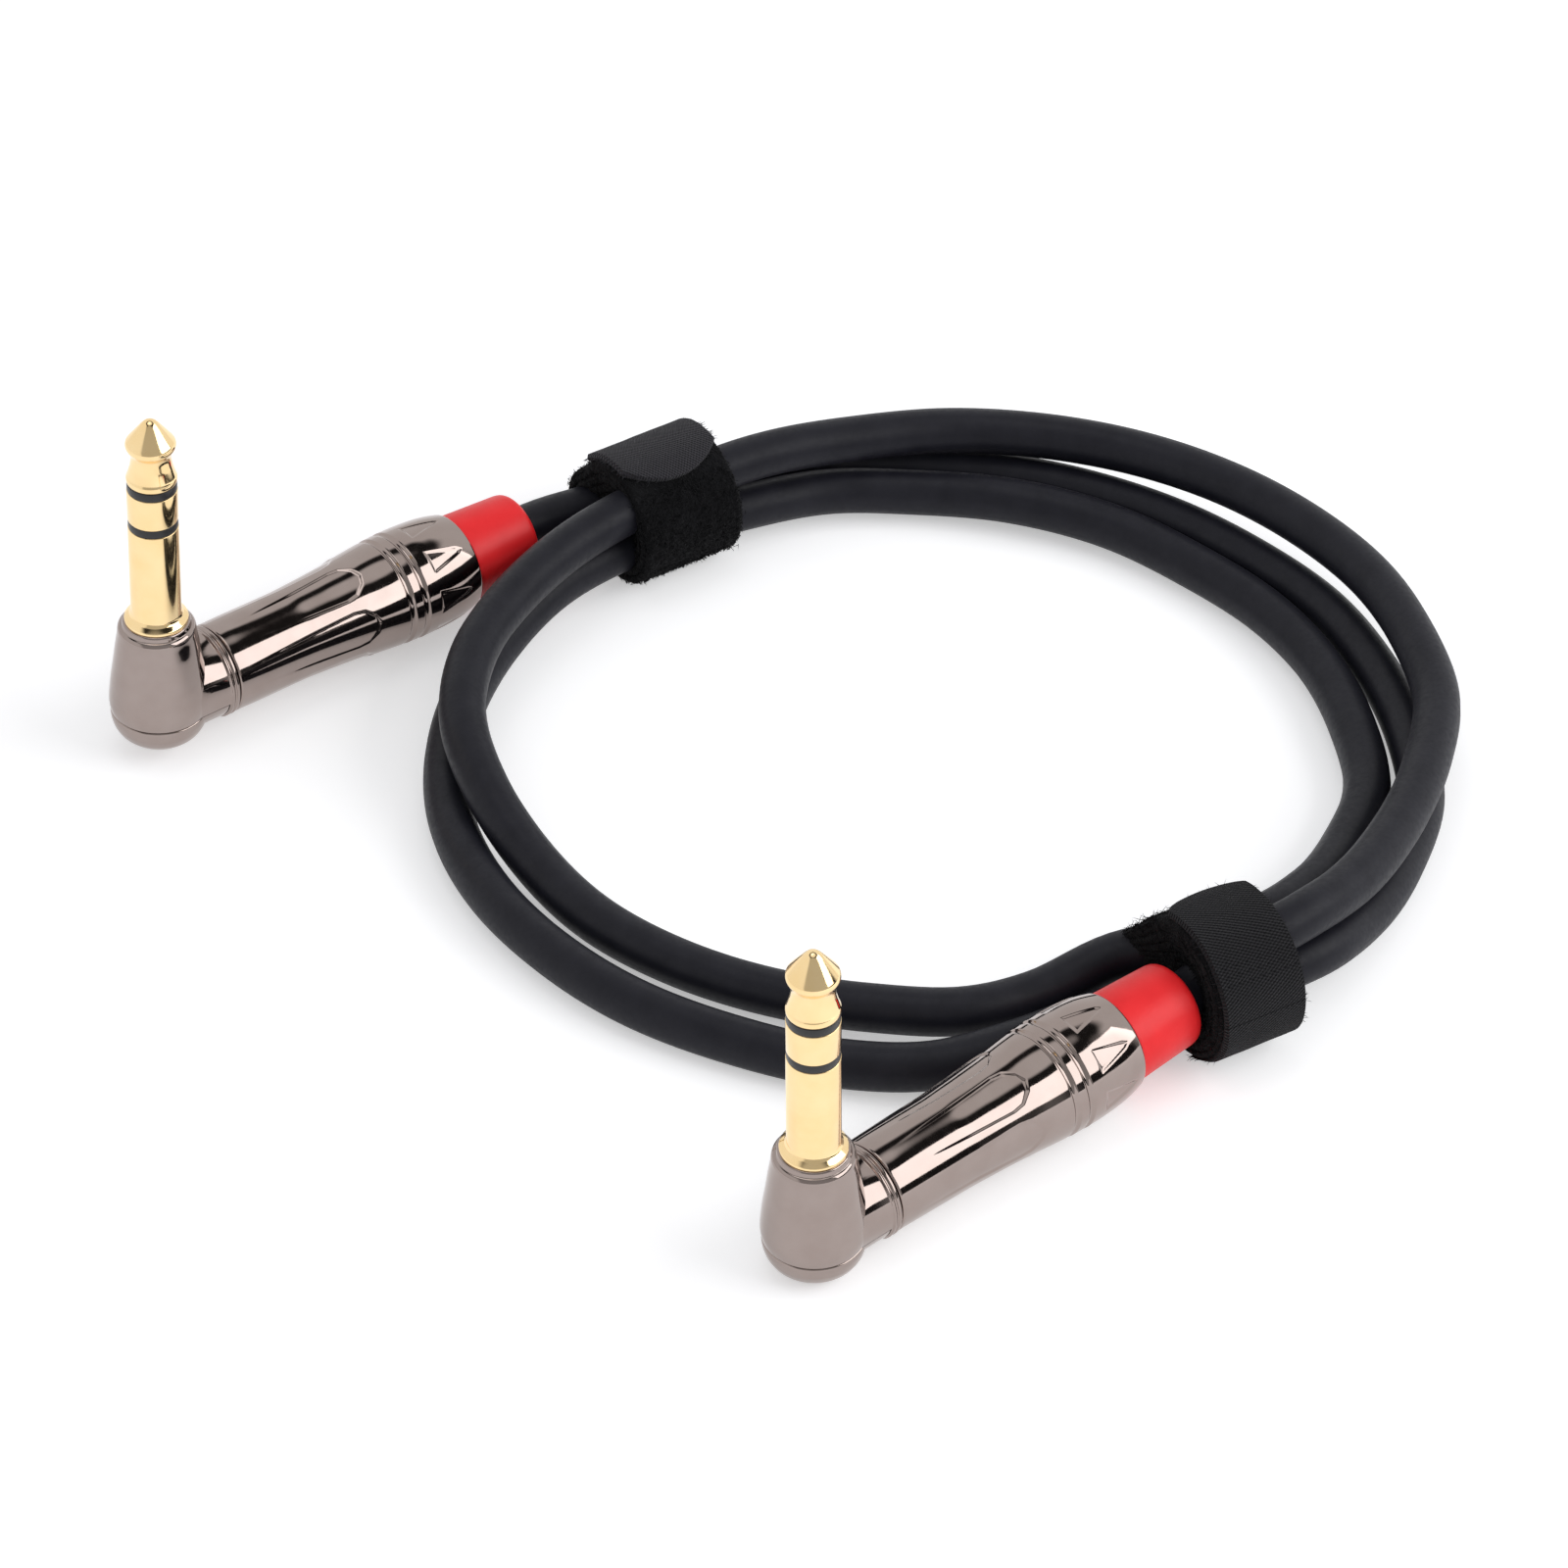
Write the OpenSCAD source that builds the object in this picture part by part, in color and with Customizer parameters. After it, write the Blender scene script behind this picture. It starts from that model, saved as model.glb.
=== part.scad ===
// Instrument cable: a shielded cord coiled two and a half times under two
// hook-and-loop ties, with a right-angle three-pole 6.35 mm plug on each end.
// Units are millimetres, +Z is up, the floor is z = 0.

/* [Plug contacts] */
// Diameter of the plug pin
plug_d = 6.35; // [6.2:0.05:6.5]
// Length of the pin from its shoulder to the tip
plug_len = 30.5; // [29:0.5:33]
// Height of the tip contact, from its point to its insulator
tip_len = 9.1; // [8.5:0.1:10]
// Length of the ring contact between its two insulators
ring_len = 4.4; // [3.5:0.1:5.5]
// Height of each black insulating band
band_h = 1.2; // [0.8:0.1:1.6]

/* [Elbow] */
// Height of the barrel axis above the bottom of the elbow
axis_z = 6.0; // [6:0.1:7]
// Height of the pin shoulder above the bottom of the elbow
shoulder_z = 18.1; // [17.6:0.1:20]
// Radius of the upright column at the barrel axis
column_r = 6.3; // [6.2:0.05:6.6]
// Radius of the column under the pin shoulder
column_top_r = 4.9; // [4.8:0.05:5.2]
// Radius of the branch that carries the barrel
branch_r = 6.0; // [5.9:0.05:6]
// Length of the branch from the pin axis to its end ring
branch_len = 8.3; // [8:0.1:10]
// Wall thickness of the elbow casting
elbow_wall = 1.2; // [1:0.1:1.4]

/* [Barrel] */
// Length of the metal barrel
barrel_len = 37.5; // [36:0.5:40]
// Radius of the barrel at its widest place
barrel_r = 7.25; // [7.2:0.05:7.6]
// Depth of the panels and arrowheads pressed into the barrel
press_depth = 0.22; // [0.15:0.01:0.3]
// Number of long panels around the barrel
panel_count = 6; // [4:1:8]
// Number of arrowheads around the barrel
arrow_count = 8; // [6:1:10]
// Advance of the barrel for one turn on its thread
thread_pitch = 1.0; // [0.5:0.1:1]
// Outside radius of the thread on the elbow
thread_r = 4.85; // [4.8:0.01:4.9]
// Length of the thread on the elbow
thread_len = 6.2; // [5:0.2:8]
// Running gap on a radius between pieces that turn or slide on each other
running = 0.06; // [0.04:0.01:0.08]

/* [Boot and chuck] */
// Visible length of the red boot
boot_len = 10.0; // [9:0.5:10.5]
// Radius of the boot beside the barrel
boot_r = 5.9; // [5.7:0.05:6]
// Radius of the boot at its free end
boot_end_r = 5.45; // [5.3:0.05:5.6]
// Length of the slotted chuck
chuck_len = 11.0; // [9:0.5:12]

/* [Cord] */
// Diameter of the cord
cord_d = 6.0; // [5.9:0.05:6]
// Diameter of each insulated wire inside the plugs
wire_d = 1.1; // [0.9:0.1:1.3]

/* [Ties] */
// Radius of the wound tie at the front plug
front_tie_r = 8.9; // [8.8:0.1:9.2]
// Width of the tie at the front plug
front_tie_w = 11.5; // [11:0.5:12.5]
// Radius of the wound tie at the rear plug
rear_tie_r = 8.3; // [8.2:0.1:8.5]
// Width of the tie at the rear plug
rear_tie_w = 14.5; // [13:0.5:15]
// Thickness of the hook tape
hook_t = 1.1; // [0.8:0.1:1.4]

/* [Hidden] */
$fn = 96;

// Where each plug stands: the bottom of its elbow, then roll, pitch and yaw.
front_at = [15.0, -70.3, 0.2];
front_turn = [2.3, -2.4, 40.4];
rear_at = [-67.0, 26.4, 1.8];
rear_turn = [1.6, 0.8, 38.8];

// Heights on the pin, up from the bottom of the elbow.
pin_r = plug_d / 2;
tip_z = shoulder_z + plug_len;
tip_base_z = tip_z - tip_len;
ring_top_z = tip_base_z - band_h;
ring_base_z = ring_top_z - ring_len;
sleeve_top_z = ring_base_z - band_h;
flare_h = 0.9;
flare_r = pin_r + 0.85;

// Radii of the parts stacked one inside another in the pin.
rod_r = 1.0;
tip_tube_r = 1.4;
ring_tube_r = 1.8;
ring_sleeve_r = 2.3;
fit_gap = 0.02;

// Heights of the parts in the elbow.
stud_r = column_top_r - 0.95;
stud_z = shoulder_z - 3.6;
strap_t = 0.5;
wafer_top_z = stud_z - strap_t - fit_gap;
wafer_h = 2.0;
wafer_z = wafer_top_z - wafer_h;
ring_lug_z = wafer_z - 1.0;
tip_lug_z = ring_lug_z - 1.8;
seam_z = axis_z - 1.5;
seam_gap = 0.06;
cavity_r = column_top_r - 0.75;
end_ring_len = 1.2;

// Stations along the barrel axis, out from the pin axis.
barrel_start = branch_len + 0.2;
barrel_end = barrel_start + barrel_len;
thread_end = branch_len + thread_len;
barrel_bore = thread_r + running;
seat_bore = 4.4;
seat_start = barrel_end - 4.6;
chuck_end = seat_start - 0.3;
chuck_start = chuck_end - chuck_len;
chuck_r = barrel_bore - running;
slot_len = 5;
slot_w = 0.8;
boot_start = barrel_end + running;
boot_neck_start = seat_start - 0.1;
boot_neck_r = seat_bore - running;
boot_end = boot_start + boot_len;
jacket_start = thread_end + 1.6;
cord_r = cord_d / 2;
cord_bore = cord_r + 0.05;
wire_r = wire_d / 2;

// How far each barrel has been turned on, and where its first panel lies from its top.
front_barrel_turn = 2;
rear_barrel_turn = -7;
panel_turn = 24;
press_reach = 10;

// Barrel outline: share of the barrel length, then radius.
groove_r = 0.3;
groove_share = [0.695, 0.752];
barrel_outline = [
    [0.000, 5.90], [0.060, 5.95], [0.307, 6.10], [0.432, 6.35], [0.573, 6.70],
    [0.660, 7.00], [0.745, barrel_r - 0.03], [0.815, barrel_r], [0.880, 7.14],
    [0.930, 6.96], [0.970, 6.66], [1.000, 6.35]
];

function barrel_x(share) = barrel_start + barrel_len * share;
function outline_points(rise) = [for (p = barrel_outline) [barrel_x(p[0]), p[1] + rise]];

// Moves a point from the frame of a plug to the frame of the part.
function roll(p, a) = [p.x, p.y * cos(a) - p.z * sin(a), p.y * sin(a) + p.z * cos(a)];
function tilt(p, a) = [p.x * cos(a) + p.z * sin(a), p.y, p.z * cos(a) - p.x * sin(a)];
function swing(p, a) = [p.x * cos(a) - p.y * sin(a), p.x * sin(a) + p.y * cos(a), p.z];
function place(at, turn, p) = at + swing(tilt(roll(p, turn.x), turn.y), turn.z);
function on_front_axis(x) = place(front_at, front_turn, [x, 0, axis_z]);
function on_rear_axis(x) = place(rear_at, rear_turn, [x, 0, axis_z]);

// How far the cord runs straight out of each boot before its first bend.
boot_lead = 2.6;

// Where each tie stands: the near end of its axis on the floor, then its heading.
// The front one keeps a clear distance from its boot, which moves as the barrel turns.
front_tie_clear = 1.9;
front_tie_side = 0.8;
front_tie_spot = place(front_at, front_turn, [boot_end + front_tie_clear, front_tie_side, axis_z]);
front_tie_at = [front_tie_spot.x, front_tie_spot.y, 0];
front_tie_yaw = 31;
rear_tie_at = [-10.5, 61.5, 0];
rear_tie_yaw = 34;

// Route of the cord between the two boots.
route = [
    [64.5, -30, 12], [72.5, -25, 13.5], [79.5, -16.5, 12], [86, -4, 10.5], [91, 11, 9.5],
    [93, 24, 9], [91, 36.5, 9], [86.5, 49, 9], [79, 60, 9], [69, 69.5, 9], [58, 76, 9],
    [45.5, 80, 9], [33, 80.5, 9.5], [21.5, 77.5, 10.5], [8.5, 71.5, 12], [-5.5, 62, 12],
    [-15, 53.5, 11.5], [-22.5, 43, 11], [-27.5, 31, 10.5], [-28.5, 19.5, 9.5],
    [-25.5, 8.5, 7.5], [-19.5, -2, 4.5], [-12, -12, 3.5], [-2, -20.5, 3.5], [10, -26.5, 3.5],
    [22, -30, 4], [33.5, -30.5, 4], [41.5, -27, 3.5], [51.5, -22.3, 5.6], [59.5, -21.9, 7.6],
    [68.5, -18.5, 8], [75, -11, 6.5], [80.5, 1, 4], [84, 13.5, 3], [83, 25.5, 3],
    [79.5, 38.5, 3], [73.5, 49.5, 3], [64.5, 59.5, 3], [54, 67.5, 3.5], [41, 72.5, 4],
    [28.5, 75, 3.5], [17.5, 74.5, 4], [6, 69.5, 5], [-7.5, 61.5, 5.5], [-18, 52.5, 5],
    [-25, 42, 3.5], [-29, 30.5, 3], [-30.5, 17.5, 3], [-29, 4.5, 3], [-24.5, -7, 3],
    [-16.5, -18.5, 3], [-7, -27.5, 3], [5, -34.5, 3], [18, -39, 3], [29, -40, 3.5],
    [39.5, -36.5, 4], [48.8, -30.2, 3], [58.3, -27.3, 4.2], [67, -27, 6], [75, -23, 6.5],
    [81.5, -14, 4.5], [87.5, -0.5, 3], [90.5, 11, 3], [90, 23.5, 3], [86.5, 38, 3],
    [81, 50, 3], [72, 61, 3], [61.5, 70, 3], [49.5, 76.5, 3], [36, 80.5, 3], [23.5, 81.5, 3.5],
    [12.5, 79.5, 5], [1, 73.5, 7], [-12.5, 67.5, 7]
];
cord_points = concat(
    [on_front_axis(jacket_start), on_front_axis(boot_end + boot_lead)],
    route,
    [on_rear_axis(boot_end + boot_lead), on_rear_axis(jacket_start)]
);
cord_sides = 10;

// Directions along a path and the frame carried along it without twist.
function unit(v) = v / norm(v);
function heading(path, i) =
    unit(path[min(i + 1, len(path) - 1)] - path[max(i - 1, 0)]);
function carried(side, along) = unit(side - along * (side * along));
function sides_from(path, i, side) =
    i == len(path) ? [] : concat([side], sides_from(path, i + 1,
        carried(side, heading(path, min(i + 1, len(path) - 1)))));
function path_ring(path, sides, i, side, r) =
    let (along = heading(path, i), b = cross(along, side))
    [for (k = [0:sides - 1])
        let (t = 360 * k / sides)
        path[i] + r * (side * cos(t) + b * sin(t))];

// A round tube swept through a list of points.
module sweep(path, r, sides) {
    count = len(path);
    across = sides_from(path, 0, carried([0.1, 0.2, 1], heading(path, 0)));
    points = [for (i = [0:count - 1]) each path_ring(path, sides, i, across[i], r)];
    walls = [for (i = [0:count - 2], k = [0:sides - 1])
        let (n = (k + 1) % sides, a = i * sides, b = a + sides)
        [a + k, b + k, b + n, a + n]];
    first = [[for (k = [0:sides - 1]) k]];
    last = [[for (k = [sides - 1:-1:0]) (count - 1) * sides + k]];
    polyhedron(points, concat(first, walls, last), convexity = 12);
}

module cable_jacket() {
    color("dimgray") sweep(cord_points, cord_r, cord_sides);
}

module front() { translate(front_at) rotate(front_turn) children(); }
module rear() { translate(rear_at) rotate(rear_turn) children(); }

// Turns a shape drawn around +Z so that it lies around the barrel axis.
module along_barrel() { translate([0, 0, axis_z]) rotate([0, 90, 0]) children(); }

// Turns a shape about the barrel axis, from its top towards -Y.
module turned_on(angle) {
    translate([0, 0, axis_z]) rotate([angle, 0, 0]) translate([0, 0, -axis_z]) children();
}

module tip_contact() {
    r = pin_r;
    z = tip_z;
    color("gold") rotate_extrude() polygon([
        [0, tip_lug_z], [rod_r, tip_lug_z], [rod_r, tip_base_z], [r, tip_base_z],
        [r, z - 8.4], [r - 0.15, z - 8.1], [r - 0.55, z - 6.6], [r - 0.68, z - 5.4],
        [r - 0.55, z - 4.7], [r - 0.1, z - 4.0], [r, z - 3.6], [r - 0.1, z - 3.2],
        [1.1, z - 0.6], [0.7, z - 0.2], [0.3, z - 0.03], [0, z]
    ]);
}

module tip_insulator() {
    color("black") rotate_extrude() polygon([
        [rod_r + fit_gap, ring_lug_z - 0.6], [tip_tube_r, ring_lug_z - 0.6],
        [tip_tube_r, ring_top_z + fit_gap], [pin_r - 0.05, ring_top_z + fit_gap],
        [pin_r - 0.05, tip_base_z - fit_gap], [rod_r + fit_gap, tip_base_z - fit_gap]
    ]);
}

module ring_contact() {
    color("gold") rotate_extrude() polygon([
        [tip_tube_r + fit_gap, ring_lug_z], [ring_tube_r, ring_lug_z],
        [ring_tube_r, ring_base_z], [pin_r, ring_base_z],
        [pin_r, ring_top_z], [tip_tube_r + fit_gap, ring_top_z]
    ]);
}

module ring_insulator() {
    color("black") rotate_extrude() polygon([
        [ring_tube_r + fit_gap, wafer_top_z + fit_gap], [ring_sleeve_r, wafer_top_z + fit_gap],
        [ring_sleeve_r, sleeve_top_z + fit_gap], [pin_r - 0.05, sleeve_top_z + fit_gap],
        [pin_r - 0.05, ring_base_z - fit_gap], [ring_tube_r + fit_gap, ring_base_z - fit_gap]
    ]);
}

module sleeve_contact() {
    color("gold") rotate_extrude() polygon([
        [ring_sleeve_r + fit_gap, stud_z], [stud_r, stud_z], [stud_r, shoulder_z],
        [flare_r, shoulder_z], [flare_r, shoulder_z + 0.4], [pin_r + 0.2, shoulder_z + flare_h],
        [pin_r, shoulder_z + flare_h + 0.4], [pin_r, sleeve_top_z],
        [ring_sleeve_r + fit_gap, sleeve_top_z]
    ]);
}

module terminal_insulator() {
    color("ivory") translate([0, 0, wafer_z]) difference() {
        cylinder(r = cavity_r - 0.05, h = wafer_h);
        translate([0, 0, -1]) cylinder(r = ring_tube_r + fit_gap, h = wafer_h + 2);
        translate([-1.3, cavity_r - 1.3, -1]) cube([2.6, 3, wafer_h + 2]);
    }
}

// A soldering lug: a flat ring with a tongue that leaves it at an angle.
module lug(z, bore, outer, reach, turn) {
    translate([0, 0, z]) rotate([0, 0, turn]) difference() {
        union() {
            cylinder(r = outer, h = strap_t);
            translate([0, -0.8, 0]) cube([reach, 1.6, strap_t]);
        }
        translate([0, 0, -1]) cylinder(r = bore, h = strap_t + 2);
    }
}

module tip_terminal() {
    color("silver") lug(tip_lug_z + 0.2, rod_r + fit_gap, rod_r + 0.9, 3.3, 0);
}

module ring_terminal() {
    color("silver") lug(ring_lug_z + 0.2, ring_tube_r + fit_gap, ring_tube_r + 0.8, 3.5, -90);
}

module sleeve_terminal() {
    tongue_y = cavity_r - 1.0;
    color("silver") union() {
        difference() {
            translate([0, 0, wafer_top_z + fit_gap / 2]) cylinder(r = stud_r - 0.2, h = strap_t);
            translate([0, 0, wafer_top_z - 1]) cylinder(r = ring_sleeve_r + fit_gap, h = 3);
        }
        translate([-0.8, tongue_y, tip_lug_z]) cube([1.6, strap_t, wafer_top_z - tip_lug_z + strap_t]);
    }
}

// Column, branch and end ring of the elbow before it is hollowed.
module elbow_outer() {
    z = axis_z;
    rotate_extrude() polygon([
        [0, seam_z], [column_r - 0.15, seam_z], [column_r - 0.02, z - 0.6], [column_r, z],
        [column_r - 0.08, z + 1.2], [column_r - 0.3, z + 3.2], [column_r - 0.65, z + 5.6],
        [column_r - 1.0, z + 8.2], [column_top_r + 0.08, shoulder_z - 1.9],
        [column_top_r, shoulder_z - 1.1], [column_top_r - 0.3, shoulder_z - 0.75],
        [column_top_r - 0.5, shoulder_z - 0.7], [column_top_r - 0.62, shoulder_z - 0.15],
        [column_top_r - 0.75, shoulder_z], [0, shoulder_z]
    ]);
    intersection() {
        along_barrel() cylinder(r = branch_r, h = branch_len - end_ring_len - 0.2);
        translate([-1, -branch_r - 1, seam_z]) cube([branch_len + 2, 2 * branch_r + 2, 20]);
    }
    along_barrel() rotate_extrude() polygon([
        [0, 2.6], [branch_r - 0.25, 2.6], [branch_r - 0.25, branch_len - end_ring_len],
        [branch_r, branch_len - end_ring_len + 0.1], [branch_r, branch_len - 0.85],
        [branch_r - 0.2, branch_len - 0.7], [branch_r - 0.2, branch_len - 0.5],
        [branch_r, branch_len - 0.4], [branch_r, branch_len - 0.1],
        [branch_r - 0.1, branch_len], [thread_r, branch_len],
        [thread_r, thread_end - 0.4], [thread_r - 0.4, thread_end], [0, thread_end]
    ]);
}

module elbow_housing() {
    color("gray") difference() {
        elbow_outer();
        translate([0, 0, -1]) cylinder(r = cavity_r, h = stud_z + 1.01);
        translate([0, 0, stud_z - 1]) cylinder(r = stud_r, h = 20);
        along_barrel() cylinder(r = thread_r - 0.95, h = thread_end + 1);
        translate([-10, -10, -10]) cube([branch_len - end_ring_len - 0.1 + 10, 20, seam_z + 10]);
        translate([branch_len - 2.4, -branch_r, branch_r * 0.28 + 0.2]) rotate([90, 0, 0])
            cylinder(r = 0.55, h = 1.2, center = true);
    }
}

module elbow_cover() {
    top = seam_z - seam_gap;
    tail = branch_len - end_ring_len - 0.2;
    color("gray") difference() {
        union() {
            rotate_extrude() polygon([
                [0, 0], [2.8, 0], [3.8, 0.22], [4.8, 0.85], [5.5, 1.65], [5.95, 2.6],
                [column_r - 0.15, 3.6], [column_r - 0.15, top], [0, top]
            ]);
            intersection() {
                along_barrel() cylinder(r = branch_r, h = tail);
                translate([0, -branch_r - 1, -1]) cube([tail + 1, 2 * branch_r + 2, top + 1]);
            }
        }
        translate([0, 0, elbow_wall]) cylinder(r = cavity_r, h = 10);
        along_barrel() translate([0, 0, 0.5]) cylinder(r = branch_r - elbow_wall, h = tail - 1);
        along_barrel() translate([0, 0, 2]) cylinder(r = thread_r - 0.9, h = 20);
    }
}

// One long pointed panel, drawn flat with its length along X: share of the
// barrel length, then half of the width there.
module panel_shape() {
    edge = [[0.035, 1.45], [0.48, 2.45], [0.52, 2.25], [0.555, 1.2]];
    linear_extrude(height = press_reach) polygon(concat(
        [for (p = edge) [barrel_x(p[0]), -p[1]]],
        [[barrel_x(0.567), 0]],
        [for (i = [len(edge) - 1:-1:0]) [barrel_x(edge[i][0]), edge[i][1]]]
    ));
}

// One arrowhead, drawn flat and pointing along X.
module arrow_shape() {
    linear_extrude(height = press_reach) polygon([
        [barrel_x(0.815), -1.45], [barrel_x(0.93), -0.35],
        [barrel_x(0.945), 0], [barrel_x(0.93), 0.35], [barrel_x(0.815), 1.45]
    ]);
}

// The skin of the barrel that the panels and arrowheads are pressed into.
module press_band() {
    lower = outline_points(-press_depth);
    upper = outline_points(1);
    count = len(lower);
    along_barrel() rotate_extrude() polygon(concat(
        [for (p = lower) [p[1], p[0]]],
        [for (i = [count - 1:-1:0]) [upper[i][1], upper[i][0]]]
    ));
}

module barrel_shell() {
    grooves = [for (g = groove_share) barrel_x(g)];
    bore = [
        [barrel_bore, barrel_start], [barrel_bore, chuck_end - 1.2],
        [seat_bore, seat_start], [seat_bore, barrel_end]
    ];
    outer = outline_points(0);
    color("slategray") difference() {
        along_barrel() rotate_extrude() polygon(concat(
            bore, [for (i = [len(outer) - 1:-1:0]) [outer[i][1], outer[i][0]]]
        ));
        for (x = grooves) along_barrel() translate([0, 0, x]) rotate_extrude()
            translate([barrel_r - 0.02, 0]) circle(r = groove_r, $fn = 24);
        intersection() {
            press_band();
            union() {
                for (k = [0:panel_count - 1]) translate([0, 0, axis_z])
                    rotate([panel_turn + 360 * k / panel_count, 0, 0]) panel_shape();
                for (k = [0:arrow_count - 1]) translate([0, 0, axis_z])
                    rotate([360 * k / arrow_count, 0, 0]) arrow_shape();
            }
        }
    }
}

module cable_chuck() {
    color("white") difference() {
        along_barrel() rotate_extrude() polygon([
            [cord_bore, chuck_start], [chuck_r, chuck_start], [chuck_r, chuck_end - 1.4],
            [seat_bore - 0.05, chuck_end], [cord_bore, chuck_end]
        ]);
        for (a = [0, 90]) translate([chuck_end - slot_len, 0, axis_z]) rotate([a, 0, 0])
            translate([0, -slot_w / 2, -10]) cube([20, slot_w, 20]);
    }
}

module boot() {
    color("red") along_barrel() rotate_extrude() polygon([
        [cord_bore, boot_neck_start], [boot_neck_r, boot_neck_start],
        [boot_neck_r, boot_start], [boot_r, boot_start],
        [boot_end_r + 0.03, boot_end - 1.4], [boot_end_r - 0.18, boot_end - 0.6],
        [boot_end_r - 0.65, boot_end - 0.12], [boot_end_r - 1.1, boot_end],
        [cord_bore, boot_end]
    ]);
}

module tip_wire() {
    color("red") sweep([
        [jacket_start, 0.9, axis_z + 0.8], [branch_len, 0.9, axis_z + 0.6],
        [4.2, 0.4, axis_z + 0.1], [2.8, 0, axis_z + 1.2], [2.7, 0, tip_lug_z + 0.2]
    ], wire_r, 8);
}

module ring_wire() {
    color("white") sweep([
        [jacket_start, -1.1, axis_z + 0.6], [branch_len, -1.4, axis_z + 0.4],
        [3.0, -2.6, axis_z + 0.4], [0.8, -2.9, axis_z + 1.6], [0, -3.0, axis_z + 3.4],
        [0, -3.0, ring_lug_z + 0.2]
    ], wire_r, 8);
}

module shield_wire() {
    color("goldenrod") sweep([
        [jacket_start, 0.1, axis_z - 1.2], [branch_len, 1.2, axis_z - 1.2],
        [3.0, 2.5, axis_z - 0.8], [0.8, cavity_r - 0.85, axis_z + 0.4],
        [0, cavity_r - 0.75, axis_z + 1.6], [0, cavity_r - 0.75, tip_lug_z]
    ], wire_r, 8);
}

module at_front_tie() { translate(front_tie_at) rotate([0, 0, front_tie_yaw]) children(); }
module at_rear_tie() { translate(rear_tie_at) rotate([0, 0, rear_tie_yaw]) children(); }

front_tie_z = front_tie_r + 0.2;
rear_tie_z = rear_tie_r + 0.2;
cord_hole_r = cord_r + 0.3;

// Ends of each hook strip, as angles from the top of its tie towards its inner side.
front_hook_ends = [-85, 36];
rear_hook_ends = [-33, 44];

// Swelling on each face of a tie: its radius, then its place across and up.
front_near_swell = [4.4, 11.2, 5.5];
front_far_swell = [4.3, 6.9, 7.9];
rear_near_swell = [4.4, 6.6, 7.2];
rear_far_swell = [4.2, 3.8, 7.4];
swell_len = 0.5;

// Points of the part in the frame of each tie.
function in_front_tie(p) = swing(p - front_tie_at, -front_tie_yaw);
function in_rear_tie(p) = swing(p - rear_tie_at, -rear_tie_yaw);

// Places along the route where the three passes of the cord go through each tie.
front_passes = [
    [for (p = [on_front_axis(boot_end), on_front_axis(boot_end + boot_lead), route[0], route[1]])
        in_front_tie(p)],
    [for (i = [27:30]) in_front_tie(route[i])],
    [for (i = [55:58]) in_front_tie(route[i])]
];
rear_passes = [
    [for (i = [17:-1:14]) in_rear_tie(route[i])],
    [for (i = [45:-1:42]) in_rear_tie(route[i])],
    [for (p = [on_rear_axis(boot_end), on_rear_axis(boot_end + boot_lead), route[73], route[72]])
        in_rear_tie(p)]
];

// A round rod along the line through two points, a share of their distance past each.
module channel(from, to, before, after) {
    run = to - from;
    translate(from - run * before) rotate([0, acos(run.z / norm(run)), atan2(run.y, run.x)])
        cylinder(r = cord_hole_r, h = norm(run) * (1 + before + after), $fn = 24);
}

// The space that the three passes fill between each pair of their points.
module cord_space(passes) {
    last = len(passes[0]) - 1;
    for (i = [1:last]) hull() for (pass = passes)
        channel(pass[i - 1], pass[i], 0.04, i == last ? 0.3 : 0.04);
}

// Loop tape wound around three passes of the cord. The swelling on each face
// gives room to the pass that comes in from the side.
module wound_tape(width, r, z, near_swell, far_swell, passes) {
    difference() {
        hull() {
            translate([0, 0, z]) rotate([0, 90, 0]) cylinder(r = r, h = width, $fn = 64);
            translate([0, near_swell.y, near_swell.z]) rotate([0, 90, 0])
                cylinder(r = near_swell.x, h = swell_len, $fn = 32);
            translate([width - swell_len, far_swell.y, far_swell.z]) rotate([0, 90, 0])
                cylinder(r = far_swell.x, h = swell_len, $fn = 32);
        }
        cord_space(passes);
    }
}

module front_tie_loop() {
    color("black") at_front_tie() wound_tape(front_tie_w, front_tie_r, front_tie_z,
        front_near_swell, front_far_swell, front_passes);
}

module rear_tie_loop() {
    color("black") at_rear_tie() wound_tape(rear_tie_w, rear_tie_r, rear_tie_z,
        rear_near_swell, rear_far_swell, rear_passes);
}

// A strip of hook tape bent over the top of a tie. One of its two ends is free
// and rounded: the first when free_first is true.
module hook_strip(width, r, ends, free_first) {
    from = ends[0];
    to = ends[1];
    outer = r + hook_t;
    beyond = 3 * outer;
    bow = width * 0.72;
    turn = (free_first ? 1 : -1) * bow / outer * 180 / PI;
    centre = (free_first ? from : to) + turn;
    difference() {
        rotate([0, 90, 0]) rotate([0, 0, 180 - to]) rotate_extrude(angle = to - from)
            translate([r, 0]) square([hook_t, width]);
        rotate([-centre, 0, 0]) difference() {
            translate([-1, free_first ? -beyond : 0, 0]) cube([width + 2, beyond, beyond]);
            translate([width / 2, 0, -1]) cylinder(r = outer * sin(bow / outer * 180 / PI), h = beyond + 2);
        }
    }
}

module front_tie_hook() {
    color("dimgray") at_front_tie() translate([0, 0, front_tie_z])
        hook_strip(front_tie_w, front_tie_r + 0.05, front_hook_ends, false);
}

module rear_tie_hook() {
    color("dimgray") at_rear_tie() translate([0, 0, rear_tie_z])
        hook_strip(rear_tie_w, rear_tie_r + 0.05, rear_hook_ends, true);
}

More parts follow.
